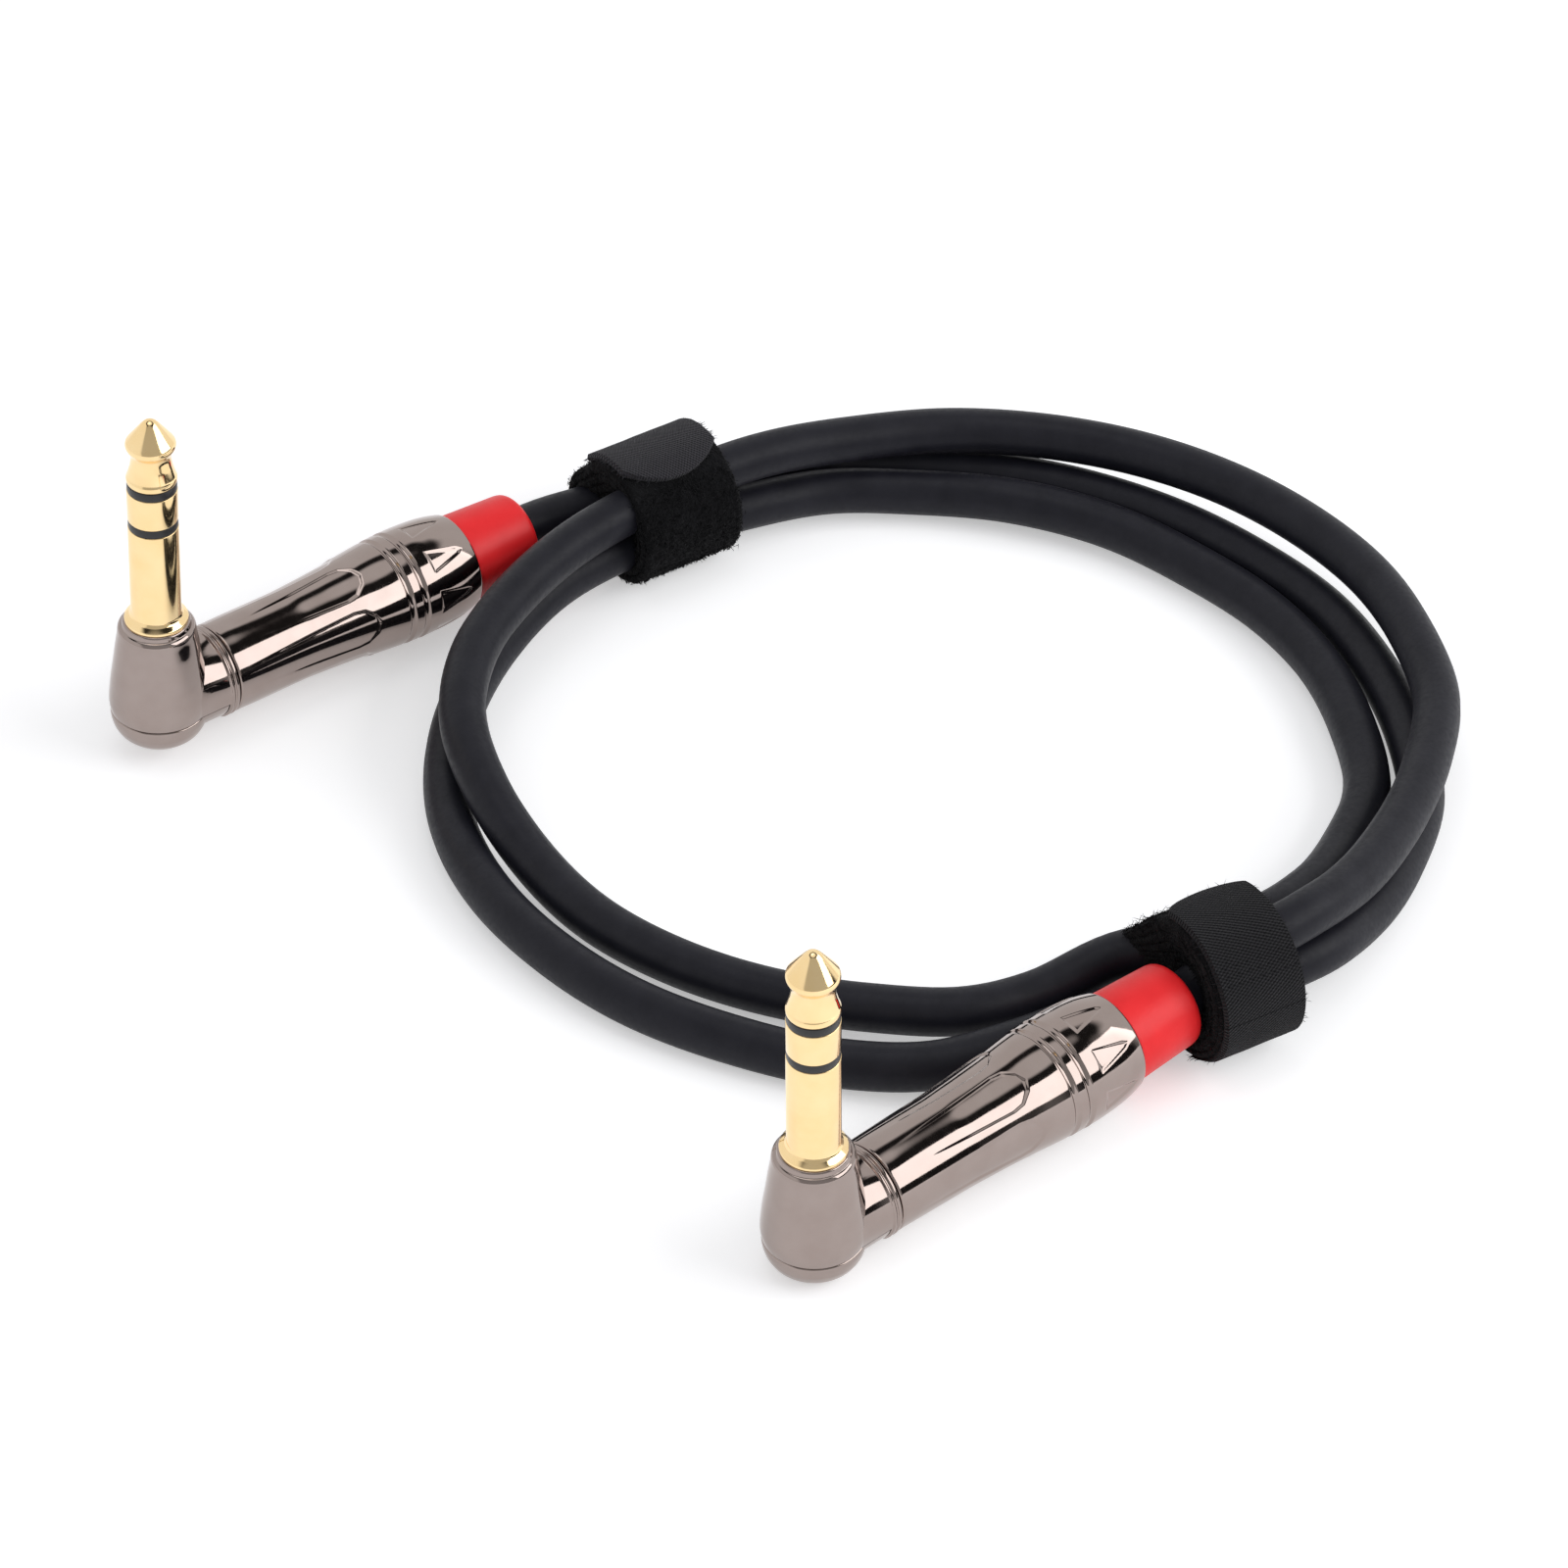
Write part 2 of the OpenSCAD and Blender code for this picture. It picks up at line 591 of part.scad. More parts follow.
front() tip_contact();  // front_tip_contact
front() tip_insulator();  // front_tip_insulator
front() ring_contact();  // front_ring_contact
front() ring_insulator();  // front_ring_insulator
front() sleeve_contact();  // front_sleeve_contact
front() terminal_insulator();  // front_terminal_insulator
front() tip_terminal();  // front_tip_terminal
front() ring_terminal();  // front_ring_terminal
front() sleeve_terminal();  // front_sleeve_terminal
front() elbow_housing();  // front_elbow_housing
front() elbow_cover();  // front_elbow_cover
front() turned_on(front_barrel_turn) barrel_shell();  // front_barrel_shell
front() cable_chuck();  // front_cable_chuck
front() boot();  // front_boot
front() tip_wire();  // front_tip_wire
front() ring_wire();  // front_ring_wire
front() shield_wire();  // front_shield_wire
rear() tip_contact();  // rear_tip_contact
rear() tip_insulator();  // rear_tip_insulator
rear() ring_contact();  // rear_ring_contact
rear() ring_insulator();  // rear_ring_insulator
rear() sleeve_contact();  // rear_sleeve_contact
rear() terminal_insulator();  // rear_terminal_insulator
rear() tip_terminal();  // rear_tip_terminal
rear() ring_terminal();  // rear_ring_terminal
rear() sleeve_terminal();  // rear_sleeve_terminal
rear() elbow_housing();  // rear_elbow_housing
rear() elbow_cover();  // rear_elbow_cover
rear() turned_on(rear_barrel_turn) barrel_shell();  // rear_barrel_shell
rear() cable_chuck();  // rear_cable_chuck
rear() boot();  // rear_boot
rear() tip_wire();  // rear_tip_wire
rear() ring_wire();  // rear_ring_wire
rear() shield_wire();  // rear_shield_wire
cable_jacket();
front_tie_loop();
front_tie_hook();
rear_tie_loop();
rear_tie_hook();
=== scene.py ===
"""Looks of the instrument cable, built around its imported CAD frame. Units are metres, +Z is up."""

import math

import bpy
import mathutils
import numpy as np
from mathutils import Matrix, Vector


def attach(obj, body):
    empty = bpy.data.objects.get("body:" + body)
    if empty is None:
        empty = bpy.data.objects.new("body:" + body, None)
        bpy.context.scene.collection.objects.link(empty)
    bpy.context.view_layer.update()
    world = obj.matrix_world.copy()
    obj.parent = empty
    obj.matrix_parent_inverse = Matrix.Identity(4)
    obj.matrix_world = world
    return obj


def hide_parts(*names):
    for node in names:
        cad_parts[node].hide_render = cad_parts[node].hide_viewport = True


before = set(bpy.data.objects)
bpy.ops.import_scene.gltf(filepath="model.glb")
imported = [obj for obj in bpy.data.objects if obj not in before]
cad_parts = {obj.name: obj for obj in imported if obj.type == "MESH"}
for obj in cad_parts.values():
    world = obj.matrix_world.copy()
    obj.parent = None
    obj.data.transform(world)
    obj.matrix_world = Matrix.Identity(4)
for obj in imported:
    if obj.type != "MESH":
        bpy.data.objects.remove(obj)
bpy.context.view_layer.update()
MM = 0.001
SEED = 7
rng = np.random.default_rng(SEED)

# ---------------------------------------------------------------- camera
SENSOR_MM = 36.0
LENS_MM = 164.25
AIM = Vector((0.0115, 0.018, 0.0))
ELEVATION = math.radians(38.5)
DISTANCE = 0.895


def add_camera():
    data = bpy.data.cameras.new("camera")
    data.sensor_width = SENSOR_MM
    data.lens = LENS_MM
    camera = bpy.data.objects.new("camera", data)
    bpy.context.scene.collection.objects.link(camera)
    back = Vector((0, -math.cos(ELEVATION), math.sin(ELEVATION)))
    camera.location = AIM + DISTANCE * back
    camera.rotation_euler = (math.pi / 2 - ELEVATION, 0, 0)
    bpy.context.scene.camera = camera


add_camera()


# ---------------------------------------------------------------- frames of the plugs and ties
def turned(roll, pitch, yaw):
    """Rotation matrix for roll about X, then pitch about Y, then yaw about Z, in degrees."""
    a, b, c = (math.radians(v) for v in (roll, pitch, yaw))
    about_x = np.array([[1, 0, 0], [0, math.cos(a), -math.sin(a)], [0, math.sin(a), math.cos(a)]])
    about_y = np.array([[math.cos(b), 0, math.sin(b)], [0, 1, 0], [-math.sin(b), 0, math.cos(b)]])
    about_z = np.array([[math.cos(c), -math.sin(c), 0], [math.sin(c), math.cos(c), 0], [0, 0, 1]])
    return about_z @ about_y @ about_x


PLUGS = {
    "front": {"at": np.array([15.0, -70.3, 0.2]), "turn": turned(2.3, -2.4, 40.4)},
    "rear": {"at": np.array([-67.0, 26.4, 1.8]), "turn": turned(1.6, 0.8, 38.8)},
}


def placed(spot, points):
    """Points in a plug's or tie's own frame, in millimetres, moved to the part's frame, in metres."""
    return (np.asarray(points, float) @ spot["turn"].T + spot["at"]) * MM


# ---------------------------------------------------------------- sizes, in millimetres
# In a plug's own frame the pin stands up along Z and the barrel lies along X.
GAP = 0.06  # clearance between pieces that fit into each other
AXIS_Z = 6.0
SHOULDER_Z = 18.1
PIN_R = 3.175
PIN_LEN = 30.5
TIP_LEN = 9.1
BAND_LEN = 1.2
RING_LEN = 4.4
TIP_Z = SHOULDER_Z + PIN_LEN
TIP_BASE_Z = TIP_Z - TIP_LEN
RING_TOP_Z = TIP_BASE_Z - BAND_LEN
RING_BASE_Z = RING_TOP_Z - RING_LEN
SLEEVE_TOP_Z = RING_BASE_Z - BAND_LEN
BRANCH_LEN = 8.3
BARREL_START = 8.5
BARREL_LEN = 37.5
BARREL_END = BARREL_START + BARREL_LEN
BOOT_START = BARREL_END + GAP
BOOT_LEN = 10.0
BOOT_END = BOOT_START + BOOT_LEN
CORD_D = 6.0
CORD_R = CORD_D / 2
CORD_BORE = CORD_R + 0.05
CORD_STRAIGHT_END = BOOT_END + 2.6
# Where the cord's line runs inside a plug and just behind it.
CORD_STATIONS = (33.0, 40.0, BARREL_END, BOOT_END, CORD_STRAIGHT_END)
CORD_STEP = 1.5
CORD_ROUNDNESS = 6

# ---------------------------------------------------------------- cord
# Its way from the front plug to the rear one, two and a half times round, in millimetres.
ROUTE = [
    (64.5, -30, 12), (72.5, -25, 13.5), (79.5, -16.5, 12), (86, -4, 10.5), (91, 11, 9.5), (93, 24, 9),
    (91, 36.5, 9), (86.5, 49, 9), (79, 60, 9), (69, 69.5, 9), (58, 76, 9), (45.5, 80, 9),
    (33, 80.5, 9.5), (21.5, 77.5, 10.5), (8.5, 71.5, 12), (-5.5, 62, 12), (-15, 53.5, 11.5),
    (-22.5, 43, 11), (-27.5, 31, 10.5), (-28.5, 19.5, 9.5), (-25.5, 8.5, 7.5), (-19.5, -2, 4.5),
    (-12, -12, 3.5), (-2, -20.5, 3.5), (10, -26.5, 3.5), (22, -30, 4), (33.5, -30.5, 4),
    (41.5, -27, 3.5), (51.5, -22.3, 5.6), (59.5, -21.9, 7.6), (68.5, -18.5, 8), (75, -11, 6.5),
    (80.5, 1, 4), (84, 13.5, 3), (83, 25.5, 3), (79.5, 38.5, 3), (73.5, 49.5, 3), (64.5, 59.5, 3),
    (54, 67.5, 3.5), (41, 72.5, 4), (28.5, 75, 3.5), (17.5, 74.5, 4), (6, 69.5, 5), (-7.5, 61.5, 5.5),
    (-18, 52.5, 5), (-25, 42, 3.5), (-29, 30.5, 3), (-30.5, 17.5, 3), (-29, 4.5, 3), (-24.5, -7, 3),
    (-16.5, -18.5, 3), (-7, -27.5, 3), (5, -34.5, 3), (18, -39, 3), (29, -40, 3.5), (39.5, -36.5, 4),
    (48.8, -30.2, 3), (58.3, -27.3, 4.2), (67, -27, 6), (75, -23, 6.5), (81.5, -14, 4.5),
    (87.5, -0.5, 3), (90.5, 11, 3), (90, 23.5, 3), (86.5, 38, 3), (81, 50, 3), (72, 61, 3),
    (61.5, 70, 3), (49.5, 76.5, 3), (36, 80.5, 3), (23.5, 81.5, 3.5), (12.5, 79.5, 5), (1, 73.5, 7),
    (-12.5, 67.5, 7),
]


def smooth_line(points, step):
    """Points along a smooth curve through the given ones, about one step apart."""
    points = np.asarray(points, float)
    gaps = np.linalg.norm(np.diff(points, axis=0), axis=1)
    run = np.concatenate([[0], np.cumsum(gaps)])
    slope = np.gradient(points, run, axis=0)
    line = []
    for i, gap in enumerate(gaps):
        count = max(2, int(round(gap / step)))
        for t in np.arange(count) / count:
            line.append(
                (2 * t**3 - 3 * t**2 + 1) * points[i] + (t**3 - 2 * t**2 + t) * gap * slope[i]
                + (3 * t**2 - 2 * t**3) * points[i + 1] + (t**3 - t**2) * gap * slope[i + 1]
            )
    line.append(points[-1])
    return np.array(line)


def on_axis(plug, x):
    """A point on the axis of a plug's barrel, in millimetres, in the frame of the part."""
    return placed(PLUGS[plug], [x, 0, AXIS_Z]) / MM


cord_points = (
    [on_axis("front", x) for x in CORD_STATIONS]
    + ROUTE
    + [on_axis("rear", x) for x in reversed(CORD_STATIONS)]
)
cord_line = smooth_line(cord_points, CORD_STEP) * MM


def add_cord():
    data = bpy.data.curves.new("cord", "CURVE")
    data.dimensions = "3D"
    data.bevel_depth = 1.0  # times each point's radius, which also sets the curve's box
    data.bevel_resolution = CORD_ROUNDNESS
    data.use_fill_caps = True
    spline = data.splines.new("POLY")
    spline.points.add(len(cord_line) - 1)
    for point, place in zip(spline.points, cord_line):
        point.co = (*place, 1)
        point.radius = CORD_R * MM
    spline.use_smooth = True
    cord = bpy.data.objects.new("cord", data)
    bpy.context.scene.collection.objects.link(cord)
    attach(cord, "cord_and_contacts")
    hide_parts("cable_jacket")
    return cord


cord = add_cord()


# ---------------------------------------------------------------- materials
def set_values(made, values):
    """Sets a shader node's properties, or its inputs, whose spaces are written as underscores."""
    for name, value in values.items():
        if hasattr(made, name):
            setattr(made, name, value)
        else:
            made.inputs[name.replace("_", " ")].default_value = value


def node(tree, kind, links=None, **values):
    """A shader node with its values set and its inputs linked."""
    made = tree.nodes.new(kind)
    set_values(made, values)
    for name, source in (links or {}).items():
        tree.links.new(source, made.inputs[name])
    return made


def calculated(tree, operation, *values):
    """The result of a calculation on sockets and plain numbers."""
    made = node(tree, "ShaderNodeMath", operation=operation)
    for socket, value in zip(made.inputs, values):
        if isinstance(value, float):
            socket.default_value = value
        else:
            tree.links.new(value, socket)
    return made.outputs[0]


def new_material(name):
    material = bpy.data.materials.new(name)
    material.use_nodes = True
    tree = material.node_tree
    shader = tree.nodes["Principled BSDF"]
    return material, tree, shader


# Most of a noise texture's values lie between these two.
NOISE_LOW = 0.3
NOISE_HIGH = 0.7


def noise(tree, place, scale, detail=3.0):
    made = node(tree, "ShaderNodeTexNoise", {"Vector": place}, Scale=scale, Detail=detail)
    return made.outputs["Fac"]


def ranged(tree, source, low, high, start=NOISE_LOW, end=NOISE_HIGH):
    """Spreads the values between start and end over low to high."""
    made = node(
        tree, "ShaderNodeMapRange", {"Value": source},
        From_Min=start, From_Max=end, To_Min=low, To_Max=high)
    return made.outputs["Result"]


def tinted(tree, source, dark, light):
    """A colour between two, led by a 0 to 1 value."""
    ramp = node(tree, "ShaderNodeValToRGB", {"Fac": source})
    ends = ((dark, NOISE_LOW), (light, NOISE_HIGH))
    for element, (colour, position) in zip(ramp.color_ramp.elements, ends):
        element.color = (*colour, 1)
        element.position = position
    return ramp.outputs["Color"]


def bumped(tree, shader, height, strength, distance):
    bump = node(tree, "ShaderNodeBump", {"Height": height}, Strength=strength, Distance=distance)
    tree.links.new(bump.outputs["Normal"], shader.inputs["Normal"])


def object_place(tree):
    return node(tree, "ShaderNodeTexCoord").outputs["Object"]


PATCH_SCALE = 300.0
FINE_DETAIL = 4.0
METAL = {"Metallic": 1.0}
SHADER_VALUES = {
    "black_nickel": METAL, "gold_plate": METAL, "tinned_brass": METAL, "bare_copper": METAL,
    "red_rubber": {"Specular_IOR_Level": 0.35},
    "cord_jacket": {"Specular_IOR_Level": 0.22},
    "loop_tape": {"Specular_IOR_Level": 0.12, "Sheen_Weight": 0.03, "Sheen_Roughness": 0.6},
}


def grained(name, dark, light, rough, grain, strength, depth):
    """A material whose colour, gloss and surface all vary a little, at a size of its own."""
    material, tree, shader = new_material(name)
    place = object_place(tree)
    patches = noise(tree, place, PATCH_SCALE)
    tree.links.new(tinted(tree, patches, dark, light), shader.inputs["Base Color"])
    fine = noise(tree, place, grain, FINE_DETAIL)
    tree.links.new(ranged(tree, fine, *rough), shader.inputs["Roughness"])
    bumped(tree, shader, fine, strength, depth)
    set_values(shader, SHADER_VALUES.get(name, {}))
    return material


# Darkest and lightest colour, least and most roughness, grains, strength and depth of the bump.
GRAINED = {
    "black_nickel": ((0.325, 0.265, 0.242), (0.35, 0.29, 0.267), (0.05, 0.09), 900, 0.04, 0.00003),
    "gold_plate": ((0.94, 0.69, 0.35), (0.97, 0.74, 0.41), (0.07, 0.12), 1200, 0.05, 0.00003),
    "black_plastic": ((0.010, 0.010, 0.011), (0.016, 0.016, 0.017), (0.3, 0.42), 2500, 0.2, 0.00004),
    "ivory_plastic": ((0.74, 0.70, 0.58), (0.82, 0.78, 0.68), (0.4, 0.5), 2000, 0.2, 0.00004),
    "tinned_brass": ((0.62, 0.61, 0.58), (0.72, 0.71, 0.68), (0.25, 0.4), 2000, 0.2, 0.00004),
    "white_plastic": ((0.78, 0.78, 0.76), (0.86, 0.86, 0.84), (0.4, 0.5), 2000, 0.2, 0.00004),
    "red_rubber": ((0.82, 0.014, 0.018), (0.90, 0.020, 0.024), (0.36, 0.46), 3000, 0.25, 0.00004),
    "red_wire": ((0.52, 0.03, 0.03), (0.62, 0.05, 0.05), (0.4, 0.5), 2000, 0.2, 0.00004),
    "white_wire": ((0.78, 0.78, 0.78), (0.86, 0.86, 0.86), (0.4, 0.5), 2000, 0.2, 0.00004),
    "bare_copper": ((0.62, 0.33, 0.18), (0.75, 0.43, 0.26), (0.25, 0.4), 3000, 0.4, 0.0001),
    "cord_jacket": ((0.008, 0.008, 0.013), (0.013, 0.013, 0.019), (0.42, 0.55), 1600, 0.25, 0.00006),
    "loop_tape": ((0.002, 0.002, 0.0025), (0.006, 0.006, 0.007), (0.9, 1.0), 3500, 0.9, 0.0004),
}
CLOTH_GRAIN = 2500
CLOTH_DETAIL = 5.0
CLOTH_BUMP = 0.9
CLOTH_LEVELS = (-0.4, 1.4)  # lowest and highest of the weave with its unevenness
CLOTH_VALUES = {"Roughness": 0.85, "Specular_IOR_Level": 0.15, "Sheen_Roughness": 0.5}


def cloth(name, dark, light, rib, thread, depth, sheen):
    """Woven narrow tape: threads across U and ribs along V, at spacings in metres."""
    material, tree, shader = new_material(name)
    uv = node(tree, "ShaderNodeUVMap").outputs["UV"]
    split = node(tree, "ShaderNodeSeparateXYZ", {"Vector": uv})
    waves = []
    for axis, spacing in (("X", thread), ("Y", rib)):
        turns = calculated(tree, "MULTIPLY", split.outputs[axis], 2 * math.pi / spacing)
        waves.append(calculated(tree, "SINE", turns))
    uneven = noise(tree, object_place(tree), CLOTH_GRAIN, CLOTH_DETAIL)
    height = calculated(tree, "ADD", calculated(tree, "MULTIPLY", *waves), uneven)
    level = ranged(tree, height, 0.0, 1.0, *CLOTH_LEVELS)
    tree.links.new(tinted(tree, level, dark, light), shader.inputs["Base Color"])
    bumped(tree, shader, height, CLOTH_BUMP, depth)
    set_values(shader, {**CLOTH_VALUES, "Sheen_Weight": sheen})
    return material


MATERIALS = {name: grained(name, *look) for name, look in GRAINED.items()}
MATERIALS["hook_tape"] = cloth(
    "hook_tape", (0.020, 0.019, 0.023), (0.034, 0.032, 0.038),
    rib=0.00055, thread=0.00045, depth=0.00012, sheen=0.1)
MATERIALS["woven_tape"] = cloth(
    "woven_tape", (0.005, 0.005, 0.006), (0.018, 0.017, 0.020),
    rib=0.00042, thread=0.00075, depth=0.0002, sheen=0.06)


def dress(piece, slot, look=None):
    """Gives a piece its only material, that of its slot unless another look is given."""
    piece.data.materials.clear()
    piece.data.materials.append(MATERIALS[look or slot])


dress(cord, "cord_jacket")


# ---------------------------------------------------------------- mesh helpers
SHARP_ANGLE = 40.0  # degrees


def new_piece(name, points, faces, sharp_angle=SHARP_ANGLE, uvs=None):
    """A mesh object from points in metres, smooth except at its sharp edges."""
    mesh = bpy.data.meshes.new(name)
    mesh.from_pydata([tuple(p) for p in points], [], [tuple(f) for f in faces])
    mesh.polygons.foreach_set("use_smooth", [True] * len(mesh.polygons))
    if uvs is not None:
        layer = mesh.uv_layers.new(name="UVMap")
        loops = np.zeros(len(mesh.loops), np.int32)
        mesh.loops.foreach_get("vertex_index", loops)
        layer.data.foreach_set("uv", np.asarray(uvs, float)[loops].ravel())
    mesh.update()
    mesh.set_sharp_from_angle(angle=math.radians(sharp_angle))
    piece = bpy.data.objects.new(name, mesh)
    bpy.context.scene.collection.objects.link(piece)
    return piece


def grid_faces(rows, columns, closed_rows=False):
    """Quads over a grid whose columns close into a ring, and its rows too if asked."""
    faces = []
    for i in range(rows if closed_rows else rows - 1):
        for k in range(columns):
            a, b = i * columns, ((i + 1) % rows) * columns
            n = (k + 1) % columns
            faces.append((a + k, a + n, b + n, b + k))
    return faces


CORNER_SHARE = 0.45  # the most of each side that a rounded corner takes
CORNER_STEPS = 4


def rounded(outline, size):
    """An outline, open at its ends, whose corners are rounded by arcs of about the given size."""
    outline = [np.array(p, float) for p in outline]
    line = [outline[0]]
    for before, corner, after in zip(outline, outline[1:], outline[2:]):
        back, on = np.linalg.norm(corner - before), np.linalg.norm(after - corner)
        cut = min(size, CORNER_SHARE * back, CORNER_SHARE * on)
        a = corner + (before - corner) / back * cut
        b = corner + (after - corner) / on * cut
        for t in np.linspace(0, 1, CORNER_STEPS):
            line.append((1 - t) ** 2 * a + 2 * t * (1 - t) * corner + t**2 * b)
    line.append(outline[-1])
    return np.array(line)


UPRIGHT = "upright"
ALONG = "along"
NEAR_AXIS = 0.02  # where a solid outline starts and ends, beside its axis
LATHE_AROUND = 96


def ring_angles(around):
    return np.arange(around) * 2 * math.pi / around


def turned_points(outline, around, direction):
    """Rings of points from an outline of (radius, height) pairs, upright or along the barrel."""
    angles = ring_angles(around)
    rings = []
    for r, h in outline:
        a, b = r * np.cos(angles), r * np.sin(angles)
        if direction == UPRIGHT:
            rings.append(np.stack([a, b, np.full(around, h)], axis=1))
        else:
            rings.append(np.stack([np.full(around, h), -b, AXIS_Z + a], axis=1))
    return np.concatenate(rings)


def end_faces(rows, around):
    """The two faces that close the first and the last ring of a grid."""
    last = (rows - 1) * around
    return [tuple(range(around - 1, -1, -1)), tuple(range(last, last + around))]


def lathe(name, spot, outline, direction=UPRIGHT, around=LATHE_AROUND, closed=False):
    """A turned piece. An open outline starts and ends beside its axis and is closed there."""
    points = turned_points(outline, around, direction)
    faces = grid_faces(len(outline), around, closed)
    if not closed:
        faces += end_faces(len(outline), around)
    return new_piece(name, placed(spot, points), faces)


def finish_piece(piece, cad_node, slot, body, look=None):
    """Dresses a piece that replaces a CAD node and rides on a body."""
    dress(piece, slot, look)
    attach(piece, body)
    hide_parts(cad_node)


def rim_drop(distance, width, depth):
    """How far a rounded rim lies below full height, at a distance from its end."""
    inset = max(0.0, 1 - distance / width)
    return depth * (1 - math.sqrt(max(0.0, 1 - inset ** 2)))


def eased(value):
    """Rises smoothly from 0 to 1 while the value does, and stays there."""
    value = np.clip(value, 0, 1)
    return value * value * (3 - 2 * value)


def signed(angles):
    """Angles in radians, brought between minus and plus half a turn."""
    return (angles + math.pi) % (2 * math.pi) - math.pi


# ---------------------------------------------------------------- the pin
# The outlines from here on are lists of (radius, height or distance along the barrel).
TUBE_R = 1.2  # inner radius of the rings and bands around the tip's rod
BAND_R = PIN_R - 0.05
BAND_SEAM = 0.02  # left free between a band and the contact next to it
STUD_BORE = 2.4
STUD_R = 3.9  # of the sleeve's foot, in the elbow


def tip_outline():
    z, r = TIP_Z, PIN_R
    return rounded([
        [NEAR_AXIS, TIP_BASE_Z], [r, TIP_BASE_Z], [r, z - 8.4], [r - 0.15, z - 8.1],
        [r - 0.55, z - 6.6], [r - 0.68, z - 5.4], [r - 0.55, z - 4.7], [r - 0.1, z - 4.0],
        [r, z - 3.6], [r - 0.1, z - 3.2], [1.1, z - 0.6], [0.7, z - 0.2], [0.3, z - 0.03],
        [NEAR_AXIS, z],
    ], size=0.3)


def band_outline(low, high):
    low, high = low + BAND_SEAM, high - BAND_SEAM
    return rounded([[TUBE_R, low], [BAND_R, low], [BAND_R, high], [TUBE_R, high]], size=0.1)


def ring_outline():
    return rounded([
        [TUBE_R, RING_BASE_Z], [PIN_R, RING_BASE_Z], [PIN_R, RING_TOP_Z], [TUBE_R, RING_TOP_Z],
    ], size=0.12)


def sleeve_outline():
    z = SHOULDER_Z
    return rounded([
        [STUD_BORE, z - 3.5], [STUD_R, z - 3.5], [STUD_R, z - 0.2], [PIN_R + 0.85, z],
        [PIN_R + 0.85, z + 0.4], [PIN_R + 0.2, z + 0.9], [PIN_R, z + 1.3], [PIN_R, SLEEVE_TOP_Z],
        [STUD_BORE, SLEEVE_TOP_Z],
    ], size=0.12)


def add_pin(plug):
    spot = PLUGS[plug]
    made = [
        ("tip_contact", tip_outline(), "gold_plate"),
        ("tip_insulator", band_outline(RING_TOP_Z, TIP_BASE_Z), "black_plastic"),
        ("ring_contact", ring_outline(), "gold_plate"),
        ("ring_insulator", band_outline(SLEEVE_TOP_Z, RING_BASE_Z), "black_plastic"),
        ("sleeve_contact", sleeve_outline(), "gold_plate"),
    ]
    for name, outline, slot in made:
        closed = name != "tip_contact"
        piece = lathe(f"{plug}_{name}_skin", spot, outline, closed=closed)
        finish_piece(piece, f"{plug}_{name}", slot, "cord_and_contacts")


# ---------------------------------------------------------------- the elbow
COLUMN_R = 6.3
COLUMN_TOP_R = 4.9
BRANCH_R = 6.0
BRANCH_START = 0.5
NECK_R = BRANCH_R - 0.25
TAIL_END = BRANCH_LEN - 1.4
POCKET_END = BRANCH_LEN - 1.3
SEAM_Z = AXIS_Z - 1.5  # the housing ends here, and the cover starts
COVER_R = COLUMN_R - 0.15
THREAD_R = 4.85
THREAD_END = BRANCH_LEN + 6.2
FLAT_STEP = 0.03  # keeps two flat faces out of one plane, where a boolean tears
# How far the boxes that cut the castings reach past them.
CUT_SIDE = 9.0
CUT_LOW = -3.0
CUT_HIGH = 20.0
CUT_END = BRANCH_LEN + 2
JOINED_SHARP_ANGLE = 35.0


def column_outline():
    z, r, top, s = AXIS_Z, COLUMN_R, COLUMN_TOP_R, SHOULDER_Z
    return rounded([
        [NEAR_AXIS, SEAM_Z], [r - 0.25, SEAM_Z], [r - 0.15, SEAM_Z + 0.1], [r - 0.02, z - 0.6], [r, z],
        [r - 0.08, z + 1.2], [r - 0.3, z + 3.2], [r - 0.65, z + 5.6], [r - 1.0, z + 8.2],
        [top + 0.08, s - 1.9], [top, s - 1.1], [top - 0.3, s - 0.75], [top - 0.5, s - 0.7],
        [top - 0.62, s - 0.15], [top - 0.75, s], [NEAR_AXIS, s],
    ], size=0.35)


def branch_outline():
    r, end = BRANCH_R, BRANCH_LEN
    return rounded([
        [NEAR_AXIS, BRANCH_START], [NECK_R, BRANCH_START], [NECK_R, end - 1.2], [r, end - 1.1],
        [r, end - 0.85], [r - 0.2, end - 0.7], [r - 0.2, end - 0.5], [r, end - 0.4], [r, end - 0.1],
        [r - 0.1, end], [THREAD_R, end], [THREAD_R, THREAD_END - 0.4],
        [THREAD_R - 0.4, THREAD_END], [NEAR_AXIS, THREAD_END],
    ], size=0.1)


def cover_outline():
    return rounded([
        [NEAR_AXIS, 0], [2.8, 0], [3.8, 0.22], [4.8, 0.85], [5.5, 1.65], [5.95, 2.6],
        [COVER_R, 3.6], [COVER_R, SEAM_Z - 0.2], [COLUMN_R - 0.3, SEAM_Z - GAP],
        [NEAR_AXIS, SEAM_Z - GAP],
    ], size=0.3)


def tail_outline():
    return rounded([
        [NEAR_AXIS, BRANCH_START], [NECK_R, BRANCH_START], [NECK_R, TAIL_END], [NEAR_AXIS, TAIL_END],
    ], size=0.1)


